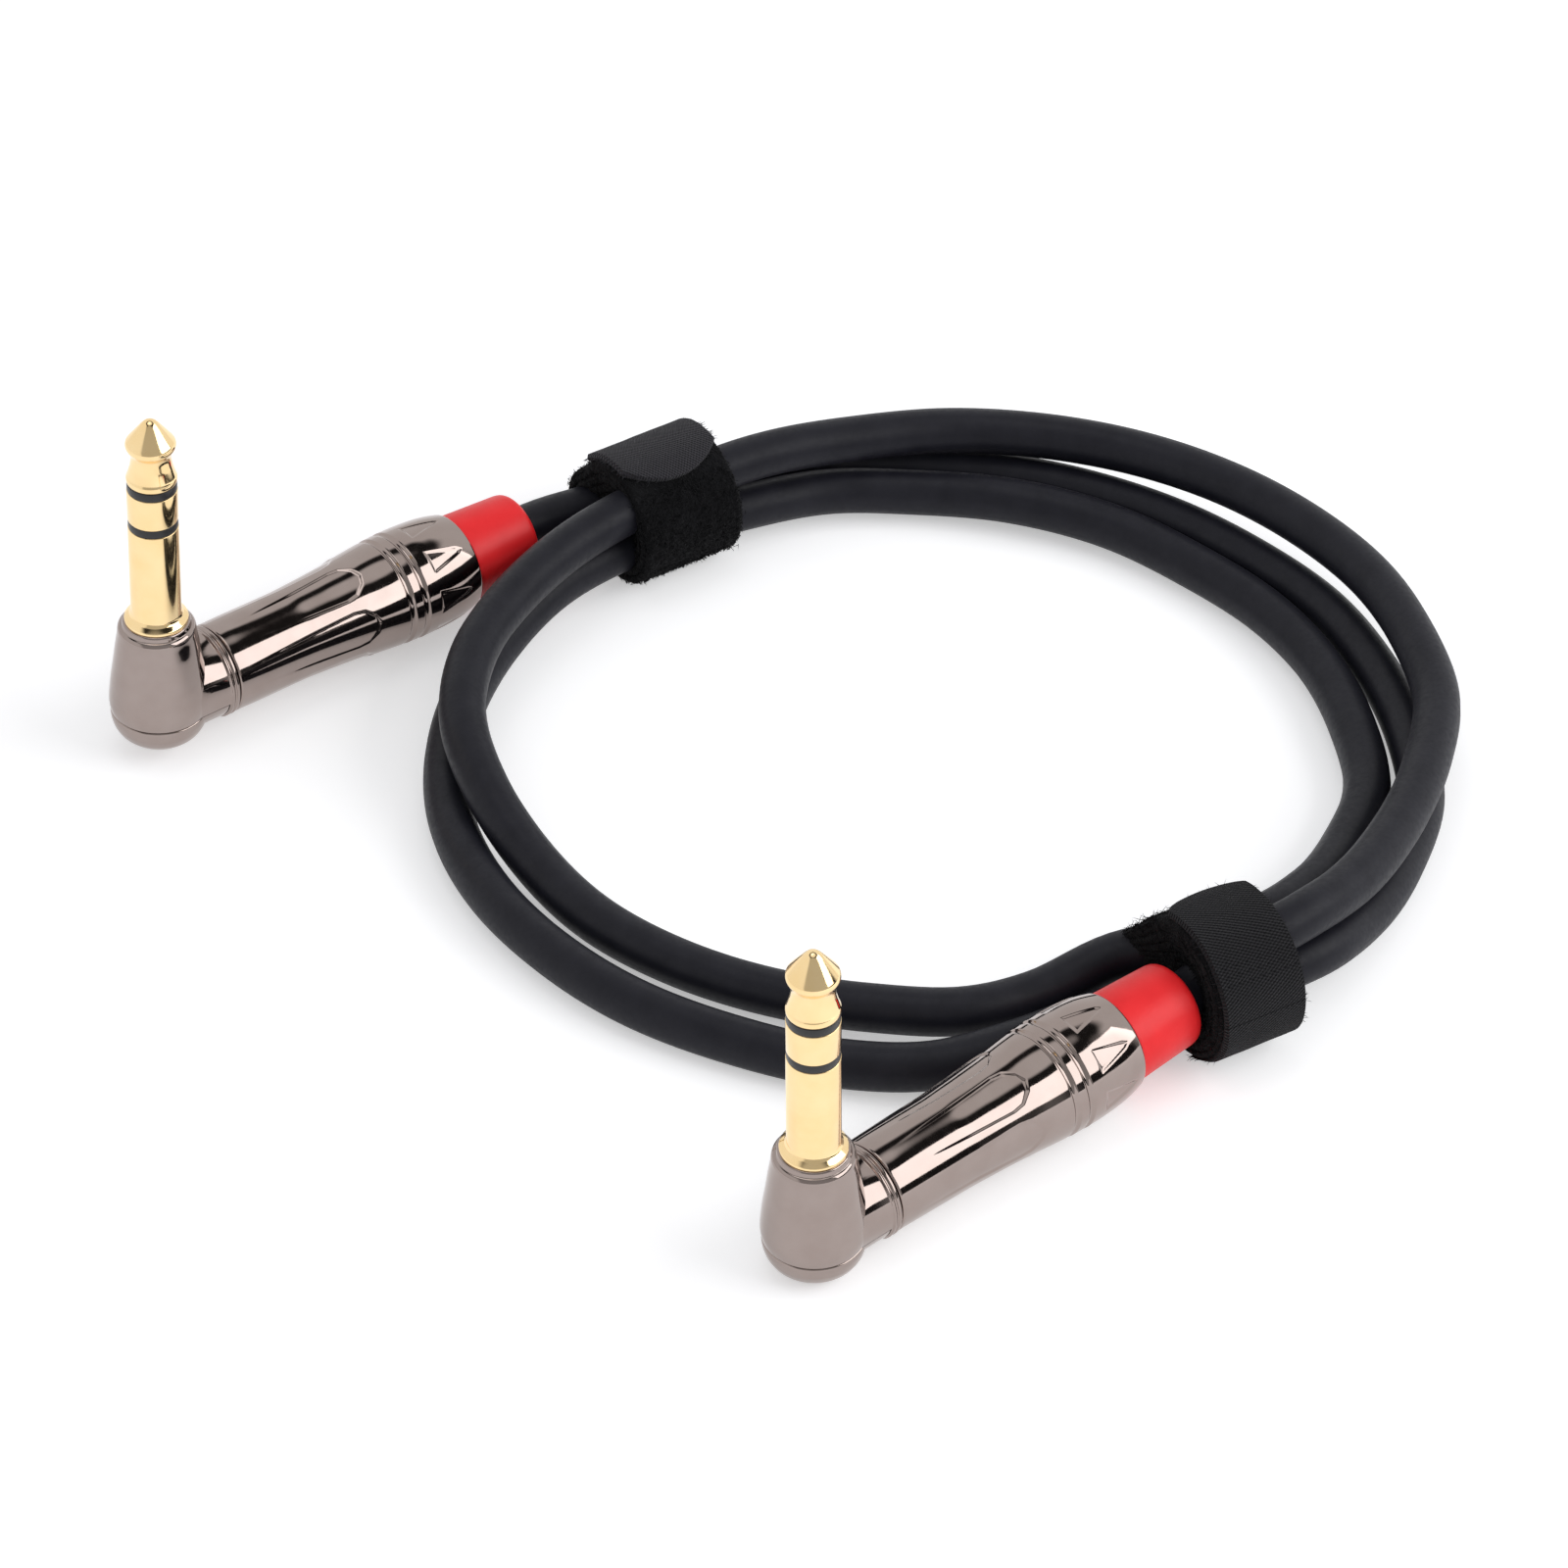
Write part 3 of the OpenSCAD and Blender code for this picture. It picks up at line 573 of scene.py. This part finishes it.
def joined(name, first, second, operation="UNION"):
    """One piece from two closed ones, by an exact boolean."""
    modifier = first.modifiers.new("join", "BOOLEAN")
    modifier.operation = operation
    modifier.solver = "EXACT"
    modifier.object = second
    bpy.context.view_layer.update()
    result = first.evaluated_get(bpy.context.evaluated_depsgraph_get())
    mesh = bpy.data.meshes.new_from_object(result)
    mesh.name = name
    mesh.polygons.foreach_set("use_smooth", [True] * len(mesh.polygons))
    mesh.set_sharp_from_angle(angle=math.radians(JOINED_SHARP_ANGLE))
    piece = bpy.data.objects.new(name, mesh)
    bpy.context.scene.collection.objects.link(piece)
    for old in (first, second):
        bpy.data.objects.remove(old)
    return piece


def block(name, spot, low, high):
    """A plain box in a plug's frame, used only to cut with."""
    x, y, z = zip(low, high)
    points = [(x[i], y[j], z[k]) for i in (0, 1) for j in (0, 1) for k in (0, 1)]
    faces = [(0, 1, 3, 2), (4, 6, 7, 5), (0, 4, 5, 1), (2, 3, 7, 6), (0, 2, 6, 4), (1, 5, 7, 3)]
    return new_piece(name, placed(spot, points), faces)


def add_elbow(plug):
    spot = PLUGS[plug]
    column = lathe("column", spot, column_outline())
    branch = lathe("branch", spot, branch_outline(), ALONG)
    corner = (-CUT_SIDE, -CUT_SIDE, CUT_LOW)
    under = block("under", spot, corner, (POCKET_END, CUT_SIDE, SEAM_Z + FLAT_STEP))
    branch = joined("branch_top", branch, under, "DIFFERENCE")
    housing = joined(f"{plug}_elbow_housing_skin", column, branch)
    finish_piece(housing, f"{plug}_elbow_housing", "black_nickel", "cord_and_contacts")
    foot = lathe("foot", spot, cover_outline())
    tail = lathe("tail", spot, tail_outline(), ALONG)
    corner = (-CUT_SIDE, -CUT_SIDE, SEAM_Z - GAP)
    over = block("over", spot, corner, (CUT_END, CUT_SIDE, CUT_HIGH))
    tail = joined("tail_low", tail, over, "DIFFERENCE")
    cover = joined(f"{plug}_elbow_cover_skin", foot, tail)
    finish_piece(cover, f"{plug}_elbow_cover", "black_nickel", "cord_and_contacts")


# ---------------------------------------------------------------- the barrel
# Share of the barrel's length, and radius there.
BARREL_OUTLINE = [
    (0.000, 5.90), (0.060, 5.95), (0.307, 6.10), (0.432, 6.35), (0.573, 6.70), (0.660, 7.00),
    (0.745, 7.22), (0.815, 7.25), (0.880, 7.14), (0.930, 6.96), (0.970, 6.66), (1.000, 6.35),
]
BARREL_AROUND = 360
BARREL_STATIONS = 330
BARREL_SHARP_ANGLE = 50.0
SOFT_STEPS = 400
SOFT_REACH = 15  # steps on each side over which the outline is softened
GROOVES = (0.695, 0.752)
GROOVE_HALF = 0.42
GROOVE_DEPTH = 0.3
PRESS_DEPTH = 0.17
PRESS_EDGE = 0.45
PRESS_SPAN = 1.2  # radians on each side of its middle that hold all of a pressing
PANEL_FADE = (0.04, 0.3)  # a panel starts at the first share, and is full the second one later
PANEL_TURN = 24.0
PANEL_COUNT = 6
ARROW_COUNT = 8
BARREL_TURN = {"front": 2.0, "rear": -7.0}
RIM_WIDTH = 0.3
RIM_DEPTH = 0.25
BORE_R = THREAD_R + GAP
BORE_END = BARREL_END - 6.1
SEAT_R = 4.4
SEAT_START = BARREL_END - 4.6
LEAD_IN = 0.15
BARREL_BORE = [
    (SEAT_R + LEAD_IN, BARREL_END), (SEAT_R, BARREL_END - LEAD_IN), (SEAT_R, SEAT_START),
    (BORE_R, BORE_END), (BORE_R, BARREL_START + LEAD_IN), (BORE_R + LEAD_IN, BARREL_START),
]
FAR = 1e9


def barrel_x(share):
    return BARREL_START + BARREL_LEN * share


def pressing(corners):
    """A pressed outline from (share of the barrel's length, half width), first corner to last."""
    near = [(barrel_x(share), -half) for share, half in corners]
    far = [(x, -y) for x, y in reversed(near) if y]
    return near + far


PANEL = pressing([(0.035, 1.45), (0.48, 2.45), (0.52, 2.25), (0.555, 1.2), (0.567, 0)])
ARROW = pressing([(0.815, 1.45), (0.93, 0.35), (0.945, 0)])


def depth_inside(x, y, shape):
    """How far each point lies inside a convex outline, negative outside."""
    depth = np.full(x.shape, FAR)
    for (ax, ay), (bx, by) in zip(shape, shape[1:] + shape[:1]):
        length = math.hypot(bx - ax, by - ay)
        depth = np.minimum(depth, ((bx - ax) * (y - ay) - (by - ay) * (x - ax)) / length)
    return depth


def softened_outline():
    """The barrel's outline without its corners: shares of the length, and radii."""
    shares, radii = zip(*BARREL_OUTLINE)
    fine = np.linspace(0, 1, SOFT_STEPS)
    radius = np.interp(fine, shares, radii)
    before = np.full(SOFT_REACH, radius[0])
    after = 2 * radius[-1] - radius[-2:-2 - SOFT_REACH:-1]
    window = np.hanning(2 * SOFT_REACH + 1)
    padded = np.concatenate([before, radius, after])
    return fine, np.convolve(padded, window / window.sum(), mode="valid")


SOFT_OUTLINE = softened_outline()


def barrel_radius(x, angles, turn_on):
    """Outer radius of a barrel turned on by an angle, with its grooves, panels and arrowheads."""
    share = (x - BARREL_START) / BARREL_LEN
    radius = np.interp(share, *SOFT_OUTLINE)
    for groove in GROOVES:
        away = (x - barrel_x(groove)) / GROOVE_HALF
        radius = radius - GROOVE_DEPTH * np.sqrt(np.clip(1 - away**2, 0, 1))
    start, fade = PANEL_FADE
    panel_full = eased((share - start) / fade)
    for count, first, shape, full in (
            (PANEL_COUNT, PANEL_TURN, PANEL, panel_full), (ARROW_COUNT, 0.0, ARROW, 1.0)):
        for k in range(count):
            centre = math.radians(turn_on + first) + 2 * math.pi * k / count
            turn = signed(angles - centre)
            depth = depth_inside(x, radius * np.sin(turn), shape)
            depth = np.where(np.abs(turn) < PRESS_SPAN, depth, -1)
            radius = radius - PRESS_DEPTH * full * eased(depth / PRESS_EDGE + 0.5)
    return radius


def add_barrel(plug):
    angles = ring_angles(BARREL_AROUND)
    rings = []
    for x in np.linspace(BARREL_START, BARREL_END, BARREL_STATIONS):
        stations = np.full(BARREL_AROUND, x)
        radius = barrel_radius(stations, angles, BARREL_TURN[plug])
        rim = min(x - BARREL_START, BARREL_END - x)
        rings.append((stations, radius - rim_drop(rim, RIM_WIDTH, RIM_DEPTH)))
    for r, x in BARREL_BORE:
        rings.append((np.full(BARREL_AROUND, x), np.full(BARREL_AROUND, r)))
    points = [
        np.stack([x, -r * np.sin(angles), AXIS_Z + r * np.cos(angles)], axis=1) for x, r in rings]
    faces = grid_faces(len(rings), BARREL_AROUND, True)
    piece = new_piece(
        f"{plug}_barrel_shell_skin", placed(PLUGS[plug], np.concatenate(points)), faces,
        BARREL_SHARP_ANGLE)
    finish_piece(piece, f"{plug}_barrel_shell", "black_nickel", f"{plug}_barrel")


# ---------------------------------------------------------------- the boot
BOOT_R = 5.9
BOOT_NECK_R = 4.34
BOOT_NECK_START = BOOT_START - 4.7
BOOT_AROUND = 128


def add_boot(plug):
    end = BOOT_END
    outline = rounded([
        [CORD_BORE, BOOT_NECK_START], [BOOT_NECK_R, BOOT_NECK_START], [BOOT_NECK_R, BOOT_START],
        [BOOT_R, BOOT_START], [5.47, end - 1.0], [5.36, end - 0.45], [5.06, end - 0.1], [4.7, end],
        [CORD_BORE, end],
    ], size=0.25)
    piece = lathe(f"{plug}_boot_skin", PLUGS[plug], outline, ALONG, BOOT_AROUND, closed=True)
    finish_piece(piece, f"{plug}_boot", "red_rubber", f"{plug}_chuck")


for plug in PLUGS:
    add_pin(plug)
    add_elbow(plug)
    add_barrel(plug)
    add_boot(plug)

# ---------------------------------------------------------------- the ties
# In a tie's own frame the cord runs along X, and angles run from the tie's top towards +Y.
# "swell" holds radius, place across and height of the passes' edge, at the near and the far face.
# "hook" is the hook tape's range of degrees, "woven" that of the loop tape's smooth back, empty
# where there is none, and "stitches" are degrees too. "hair" is the range of lengths of the fibres,
# in millimetres, and the names that end in "hairs" are their numbers.
TIES = {
    "front": {
        "at": np.array([58.55, -32.5, 0.0]), "turn": turned(0, 0, 31), "r": 8.9, "width": 11.5,
        "swell": ((3.4, 11.2, 5.2), (4.3, 6.9, 7.9)), "hook": (-85, 36), "free_first": False,
        "woven": (-180, 36), "side_hairs": 6500, "face_hairs": 4200, "hair": (0.8, 1.9),
        "edge_hairs": 60, "stitches": (-44, -50, -56), "look": "woven_tape",
    },
    "rear": {
        "at": np.array([-10.5, 61.5, 0.0]), "turn": turned(0, 0, 34), "r": 8.3, "width": 14.5,
        "swell": ((4.4, 6.6, 7.2), (4.2, 3.8, 7.4)), "hook": (-33, 44), "free_first": True,
        "woven": (0, 0), "side_hairs": 7600, "face_hairs": 1800, "hair": (0.35, 0.8),
        "edge_hairs": 150, "stitches": (), "look": "hook_tape",
    },
}
FLOOR_GAP = 0.2
HOOK_T = 1.1
HOOK_GAP = 0.05
LAYER = 1.4  # from one winding to the next
RIM = 0.4
SIDE_STEP = 0.3
FACE_ROWS = (0.02, 0.97, 44)  # first and last share of the radius, and how many
FOLD_DEPTH = 0.4
HOLLOW_DEPTH = 1.3
HOLLOW_RISE = 1.6
HOLLOW_START = 0.2
MIN_LEAN = 0.02  # the least cosine that is divided by
TINY = 1e-9


def tie_centre_z(tie):
    return tie["r"] + FLOOR_GAP


def reach(angles, support):
    """Distance from the centre to the edge of a convex shape, from its support at every angle."""
    lean = np.cos(angles[:, None] - angles[None, :])
    away = np.where(lean > MIN_LEAN, support[None, :] / np.maximum(lean, MIN_LEAN), FAR)
    return away.min(axis=1)


def tie_radius(tie, x, angles):
    """Outer radius of a wound tie at x, around its centre line."""
    share = x / tie["width"]
    near, far = tie["swell"]
    r, across, up = (n + (f - n) * share for n, f in zip(near, far))
    support = across * np.sin(angles) + (up - tie_centre_z(tie)) * np.cos(angles) + r
    return reach(angles, np.maximum(tie["r"], support))


LUMP_SHIFT = (17.3, 5.1, 9.7)


def lumps(points, size, seed):
    """Smooth random values between about -1 and 1 over points in millimetres."""
    shift = Vector([seed * v for v in LUMP_SHIFT])
    return np.array([mathutils.noise.noise(Vector(p) / size + shift) for p in points])


def wound_rings(tie, angles):
    """Rings over a wound tie: out over its near face, along its side, and in over its far face.

    Each is whether it lies on the side, its place along the cord and its radius.
    """
    width = tie["width"]
    near, side, far = [], [], []
    for x in np.linspace(0, width, int(width / SIDE_STEP)):
        drop = rim_drop(min(x, width - x), RIM, RIM)
        side.append((True, x, tie_radius(tie, x, angles) - drop))
    for rows, x, inward in ((near, 0.0, 1), (far, width, -1)):
        edge = tie_radius(tie, x, angles) - RIM
        for share in np.linspace(*FACE_ROWS):
            fold = np.abs(np.sin(math.pi * (edge * share / LAYER + angles / (2 * math.pi))))
            hollow = HOLLOW_DEPTH * eased(HOLLOW_RISE * share - HOLLOW_START)
            sink = FOLD_DEPTH * (1 - fold) ** 2 + hollow
            rows.append((False, x + inward * sink, edge * (1 - share)))
    return near[::-1] + side + far


def tie_points(tie, x, radius, angles):
    across, up = radius * np.sin(angles), radius * np.cos(angles)
    return np.stack([np.broadcast_to(x, across.shape), across, tie_centre_z(tie) + up], axis=1)


def surface_normals(grid):
    """Outward normals over a grid of points whose columns close into rings."""
    around = np.roll(grid, -1, axis=1) - np.roll(grid, 1, axis=1)
    normal = np.cross(around, np.gradient(grid, axis=0))
    return normal / np.maximum(np.linalg.norm(normal, axis=2, keepdims=True), TINY)


HAIR_SIDES = 3
HAIR_POINTS = 2 * HAIR_SIDES + 1
HAIR_ROOT = 0.15  # depth below the surface
HAIR_BEND = 0.6  # spread of the bend in the middle
HAIR_LOW = 0.55  # share of the length below the bend
HAIR_HIGH = 0.45
HAIR_TAPER = 0.75


def unit(vectors):
    return vectors / np.maximum(np.linalg.norm(vectors, axis=1, keepdims=True), TINY)


def fibres(roots, normals, length, thick, lie):
    """Short bent hairs that taper to a point: their points and faces."""
    count = len(roots)
    size = rng.uniform(*length, (count, 1))
    first = unit(normals + rng.normal(0, lie, (count, 3)))
    second = unit(first + rng.normal(0, HAIR_BEND, (count, 3)))
    base = roots - HAIR_ROOT * normals
    middle = base + first * (HAIR_ROOT + HAIR_LOW * size)
    tip = middle + second * HAIR_HIGH * size
    side = unit(np.cross(first, rng.normal(0, 1, (count, 3))))
    other = np.cross(first, side)
    points = []
    for centre, r in ((base, thick), (middle, HAIR_TAPER * thick)):
        for turn in ring_angles(HAIR_SIDES):
            points.append(centre + r * (math.cos(turn) * side + math.sin(turn) * other))
    points.append(tip)
    start = np.arange(count)[:, None] * HAIR_POINTS
    faces = []
    for k in range(HAIR_SIDES):
        n = (k + 1) % HAIR_SIDES
        faces += (start + np.array([k, n, HAIR_SIDES + n, HAIR_SIDES + k])).tolist()
        faces += (start + np.array([HAIR_SIDES + k, HAIR_SIDES + n, 2 * HAIR_SIDES])).tolist()
    return np.stack(points, axis=1).reshape(-1, 3), faces


LOOP_AROUND = 300
LOOP_SHARP_ANGLE = 60.0
WOVEN_ROUGH = 0.04
PILE_ROUGH = 0.3
PILE_LUMPS = ((0.9, 1.0), (0.4, 0.6))  # size and height
PILE_JITTER = 0.1
PILE_THICK = 0.045
PILE_LIE = 0.55
HOOK_MARGIN = 4  # degrees without fibres at both ends of the hook tape
LOWEST = 0.05


def add_tie_loop(name):
    tie = TIES[name]
    angles = ring_angles(LOOP_AROUND)
    rows = wound_rings(tie, angles)
    grid = np.array([tie_points(tie, x, radius, angles) for _, x, radius in rows])
    flat = grid.reshape(-1, 3)
    normals = surface_normals(grid).reshape(-1, 3)
    side = np.repeat([on_side for on_side, _, _ in rows], LOOP_AROUND)
    degrees = np.degrees(signed(np.tile(angles, len(rows))))
    first, last = tie["woven"]
    woven = side & (degrees > first) & (degrees < last)
    rough = np.where(woven, WOVEN_ROUGH, PILE_ROUGH)
    pile = sum(
        height * np.abs(lumps(flat, size, seed))
        for seed, (size, height) in enumerate(PILE_LUMPS, 1))
    points = flat - normals * (rough * pile)[:, None]
    faces = grid_faces(len(rows), LOOP_AROUND) + end_faces(len(rows), LOOP_AROUND)
    low, high = tie["hook"]
    bare = (degrees < low - HOOK_MARGIN) | (degrees > high + HOOK_MARGIN)
    open_side, ends = np.nonzero(side & bare & ~woven)[0], np.nonzero(~side)[0]
    for spots, count in ((open_side, tie["side_hairs"]), (ends, tie["face_hairs"])):
        picked = rng.choice(spots, count)
        roots = points[picked] + rng.normal(0, PILE_JITTER, (count, 3))
        more, hair = fibres(roots, normals[picked], tie["hair"], PILE_THICK, PILE_LIE)
        faces += [[len(points) + k for k in f] for f in hair]
        points = np.concatenate([points, more])
    points[:, 2] = np.maximum(points[:, 2], LOWEST)
    piece = new_piece(f"{name}_tie_loop_skin", placed(tie, points), faces, LOOP_SHARP_ANGLE)
    finish_piece(piece, f"{name}_tie_loop", "loop_tape", "cord_and_contacts")


STRIP_STEP = 0.15
STRIP_ACROSS = 40
STRIP_EDGE = 0.35  # width of the rounded edge
STRIP_SHARP_ANGLE = 50.0
STRIP_LUMP = 2.5
STRIP_LUMP_HEIGHT = 0.05
STRIP_LUMP_SEED = 3
FREE_BOW = 1.28  # radius of a free end's curve, in half widths of the tape
FREE_START = 0.02
FREE_ROWS = 26
STITCH_DEPTH = 0.16
STITCH_WIDTH = 0.16
STITCH_SLANT = 0.03
STITCH_PITCH = 1.5
STITCH_LEAST = 0.65
STITCH_MORE = 0.35
EDGE_HAIR = (0.4, 1.1)
EDGE_DROOP = 0.3
EDGE_THICK = 0.04
EDGE_LIE = 0.5


def strip_rows(tie, ends, free_end):
    """Stations along a strip of tape: angle in radians, and half of the width there."""
    low, high = (math.radians(a) for a in ends)
    outer = tie["r"] + HOOK_GAP + HOOK_T
    half = tie["width"] / 2
    bow = FREE_BOW * half
    rows = []
    if free_end is not None:
        for t in np.linspace(FREE_START, math.asin(half / bow), FREE_ROWS):
            rows.append((bow * (1 - math.cos(t)), bow * math.sin(t)))
    start = rows[-1][0] + STRIP_STEP if rows else 0
    for s in np.arange(start, (high - low) * outer, STRIP_STEP):
        rows.append((s, half))
    if free_end == "first":
        return [(low + s / outer, h) for s, h in rows]
    return [(high - s / outer, h) for s, h in reversed(rows)]


def stitch_depth(away, flat):
    """Depth of a row of stitches, at distances from it and places across the tape."""
    beads = STITCH_LEAST + STITCH_MORE * np.cos(2 * math.pi * flat / STITCH_PITCH)
    return STITCH_DEPTH * np.exp(-((away / STITCH_WIDTH) ** 2)) * beads


def add_strip(tie, label, ends, free_end, thickness):
    """Tape bent around a tie, of a thickness given for each angle, with frayed edges."""
    inner = tie["r"] + HOOK_GAP
    shares = np.linspace(-1, 1, STRIP_ACROSS)
    points, uvs = [], []
    rows = strip_rows(tie, ends, free_end)
    for angle, half in rows:
        thick = thickness(angle)
        flat = shares * half
        inset = np.clip(1 - (half - np.abs(flat)) / min(STRIP_EDGE, 0.5 * half), 0, 1)
        bulge = thick / 2 * np.sqrt(np.maximum(0, 1 - inset**2))
        top = inner + thick / 2 + bulge
        for mark in tie["stitches"]:
            away = (angle - math.radians(mark)) * inner + STITCH_SLANT * flat
            top = top - stitch_depth(away, flat)
        bottom = inner + thick / 2 - bulge
        x = np.concatenate([flat, flat[::-1][1:-1]]) + tie["width"] / 2
        radius = np.concatenate([top, bottom[::-1][1:-1]])
        points.append(tie_points(tie, x, radius, angle))
        uvs.append(np.stack([x, np.full(len(x), angle * inner)], axis=1))
    around = len(points[0])
    points = np.concatenate(points)
    outward = points - np.array([0, 0, tie_centre_z(tie)])
    outward[:, 0] = 0
    outward = unit(outward)
    is_top = np.tile(np.arange(around) < STRIP_ACROSS, len(rows))
    lift = STRIP_LUMP_HEIGHT * lumps(points, STRIP_LUMP, STRIP_LUMP_SEED)
    points = points + outward * (lift * is_top)[:, None]
    faces = grid_faces(len(rows), around) + end_faces(len(rows), around)
    faces = [tuple(reversed(f)) for f in faces]
    edges = np.nonzero(np.tile(np.isin(np.arange(around), (0, STRIP_ACROSS - 1)), len(rows)))[0]
    picked = rng.choice(edges, tie["edge_hairs"])
    sideways = np.zeros((len(picked), 3))
    sideways[:, 0] = np.where(points[picked, 0] < tie["width"] / 2, -1.0, 1.0)
    lean = sideways - EDGE_DROOP * outward[picked]
    more, hair = fibres(points[picked], lean, EDGE_HAIR, EDGE_THICK, EDGE_LIE)
    faces += [tuple(len(points) + k for k in f) for f in hair]
    uvs = np.concatenate(uvs + [np.zeros((len(more), 2))]) * MM
    points = placed(tie, np.concatenate([points, more]))
    return new_piece(label, points, faces, STRIP_SHARP_ANGLE, uvs)


def add_tie_hook(name):
    tie = TIES[name]
    free_end = "first" if tie["free_first"] else "last"
    piece = add_strip(tie, f"{name}_tie_hook_skin", tie["hook"], free_end, lambda angle: HOOK_T)
    finish_piece(piece, f"{name}_tie_hook", "hook_tape", f"{name}_hook_tape", tie["look"])


# In degrees before the root of the hook tape: where the woven back starts and ends, and where
# its thickness would be nothing.
BACK_START = 78
BACK_END = 0.5
BACK_NOTHING = 80
BACK_RISE = 62  # degrees over which it reaches its full thickness
BACK_LEAST = 0.02


def add_tie_back(name):
    """The woven back of the tape below the hook tape's root, thinning out under the tie."""
    tie = TIES[name]
    root = tie["hook"][0]

    def thickness(angle):
        share = (math.degrees(angle) - root + BACK_NOTHING) / BACK_RISE
        return BACK_LEAST + HOOK_T * float(eased(share))

    ends = (root - BACK_START, root - BACK_END)
    piece = add_strip(tie, f"{name}_tie_back_skin", ends, None, thickness)
    dress(piece, "loop_tape", tie["look"])
    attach(piece, "cord_and_contacts")


for name in TIES:
    add_tie_loop(name)
    add_tie_hook(name)
add_tie_back("front")

# ---------------------------------------------------------------- what stays hidden in the plugs
INNER = {
    "terminal_insulator": "ivory_plastic", "tip_terminal": "tinned_brass",
    "ring_terminal": "tinned_brass", "sleeve_terminal": "tinned_brass",
    "cable_chuck": "white_plastic", "tip_wire": "red_wire", "ring_wire": "white_wire",
    "shield_wire": "bare_copper",
}
for plug in PLUGS:
    for name, slot in INNER.items():
        dress(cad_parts[f"{plug}_{name}"], slot)


# ---------------------------------------------------------------- floor, lights and background
WHITE = (1, 1, 1, 1)
FLOOR_HALF = 6.0
FLOOR_PATCHES = 3.0
FLOOR_DARK = (0.80, 0.80, 0.81)
FLOOR_LIGHT = (0.82, 0.82, 0.83)
FLOOR_VALUES = {"Roughness": 0.9, "Specular_IOR_Level": 0.0, "Emission_Color": WHITE}
FLOOR_GLOW = 0.42
# Name, place, size and brightness.
SOFTBOXES = [
    ("key", (0.87, -0.17, 0.56), (0.9, 0.68), 3.0),
    ("top", (-0.1, 0.1, 1.3), (0.5, 0.5), 1.0),
]
# Edges of what mirrors see of the room, as parts of a unit direction: where each bright part
# starts, and where it is full.
WALL_TOP = (0.83, 0.77)
WALL_SIDE = (0.05, 0.30)
CEILING_EDGE = (0.88, 0.92)
LEFT_SIDE = (-0.35, -0.65)
FRONT_SIDE = (-0.42, -0.6)
FRONT_SHARE = 0.5
MIRROR_LEVELS = (0.02, 0.95)
PALE = (0.97, 0.98, 1.0, 1)
PALE_LEVEL = 0.62


def add_floor():
    h = FLOOR_HALF
    floor = new_piece("floor", [(-h, -h, 0), (h, -h, 0), (h, h, 0), (-h, h, 0)], [(0, 1, 2, 3)])
    material, tree, shader = new_material("floor")
    patches = noise(tree, object_place(tree), FLOOR_PATCHES)
    tree.links.new(tinted(tree, patches, FLOOR_DARK, FLOOR_LIGHT), shader.inputs["Base Color"])
    set_values(shader, FLOOR_VALUES)
    rays = node(tree, "ShaderNodeLightPath").outputs
    seen = calculated(tree, "MAXIMUM", rays["Is Camera Ray"], rays["Is Glossy Ray"])
    seen = calculated(tree, "MAXIMUM", seen, rays["Is Transmission Ray"])
    glow = calculated(tree, "MULTIPLY", seen, FLOOR_GLOW)
    tree.links.new(glow, shader.inputs["Emission Strength"])
    floor.data.materials.append(material)


def add_softbox(name, place, size, radiance):
    """A rectangular lamp of a given brightness, turned towards the middle."""
    data = bpy.data.lights.new(name, "AREA")
    data.shape = "RECTANGLE"
    data.size, data.size_y = size
    data.energy = radiance * math.pi * size[0] * size[1]
    lamp = bpy.data.objects.new(name, data)
    bpy.context.scene.collection.objects.link(lamp)
    lamp.location = place
    lamp.rotation_euler = (-Vector(place)).to_track_quat("-Z", "Y").to_euler()


def stepped(tree, value, low, high):
    """Rises smoothly from 0 at the low value to 1 at the high one."""
    made = node(
        tree, "ShaderNodeMapRange", {"Value": value},
        interpolation_type="SMOOTHSTEP", From_Min=low, From_Max=high)
    return made.outputs["Result"]


def add_world():
    """White to the camera, pale light all round, and a white wall behind for mirrors."""
    world = bpy.data.worlds.new("world")
    bpy.context.scene.world = world
    world.use_nodes = True
    tree = world.node_tree
    tree.nodes.clear()
    place = node(tree, "ShaderNodeTexCoord").outputs["Generated"]
    x, y, z = node(tree, "ShaderNodeSeparateXYZ", {"Vector": place}).outputs
    below_top = stepped(tree, z, *WALL_TOP)
    wall = calculated(tree, "MULTIPLY", below_top, stepped(tree, y, *WALL_SIDE))
    left = calculated(tree, "MULTIPLY", below_top, stepped(tree, x, *LEFT_SIDE))
    ceiling = stepped(tree, z, *CEILING_EDGE)
    front = calculated(tree, "MULTIPLY", stepped(tree, y, *FRONT_SIDE), FRONT_SHARE)
    bright = wall
    for more in (ceiling, left, front):
        bright = calculated(tree, "MAXIMUM", bright, more)
    level = ranged(tree, bright, *MIRROR_LEVELS, 0.0, 1.0)
    mirrored = node(tree, "ShaderNodeBackground", {"Strength": level}, Color=WHITE)
    around = node(tree, "ShaderNodeBackground", Color=PALE, Strength=PALE_LEVEL)
    white = node(tree, "ShaderNodeBackground", Color=WHITE, Strength=1.0)
    rays = node(tree, "ShaderNodeLightPath").outputs
    unseen = node(tree, "ShaderNodeMixShader", {
        0: rays["Is Glossy Ray"], 1: around.outputs[0], 2: mirrored.outputs[0]})
    seen = node(tree, "ShaderNodeMixShader", {
        0: rays["Is Camera Ray"], 1: unseen.outputs[0], 2: white.outputs[0]})
    out = node(tree, "ShaderNodeOutputWorld")
    tree.links.new(seen.outputs[0], out.inputs["Surface"])


add_floor()
for softbox in SOFTBOXES:
    add_softbox(*softbox)
add_world()
bpy.context.scene.view_settings.view_transform = "Standard"
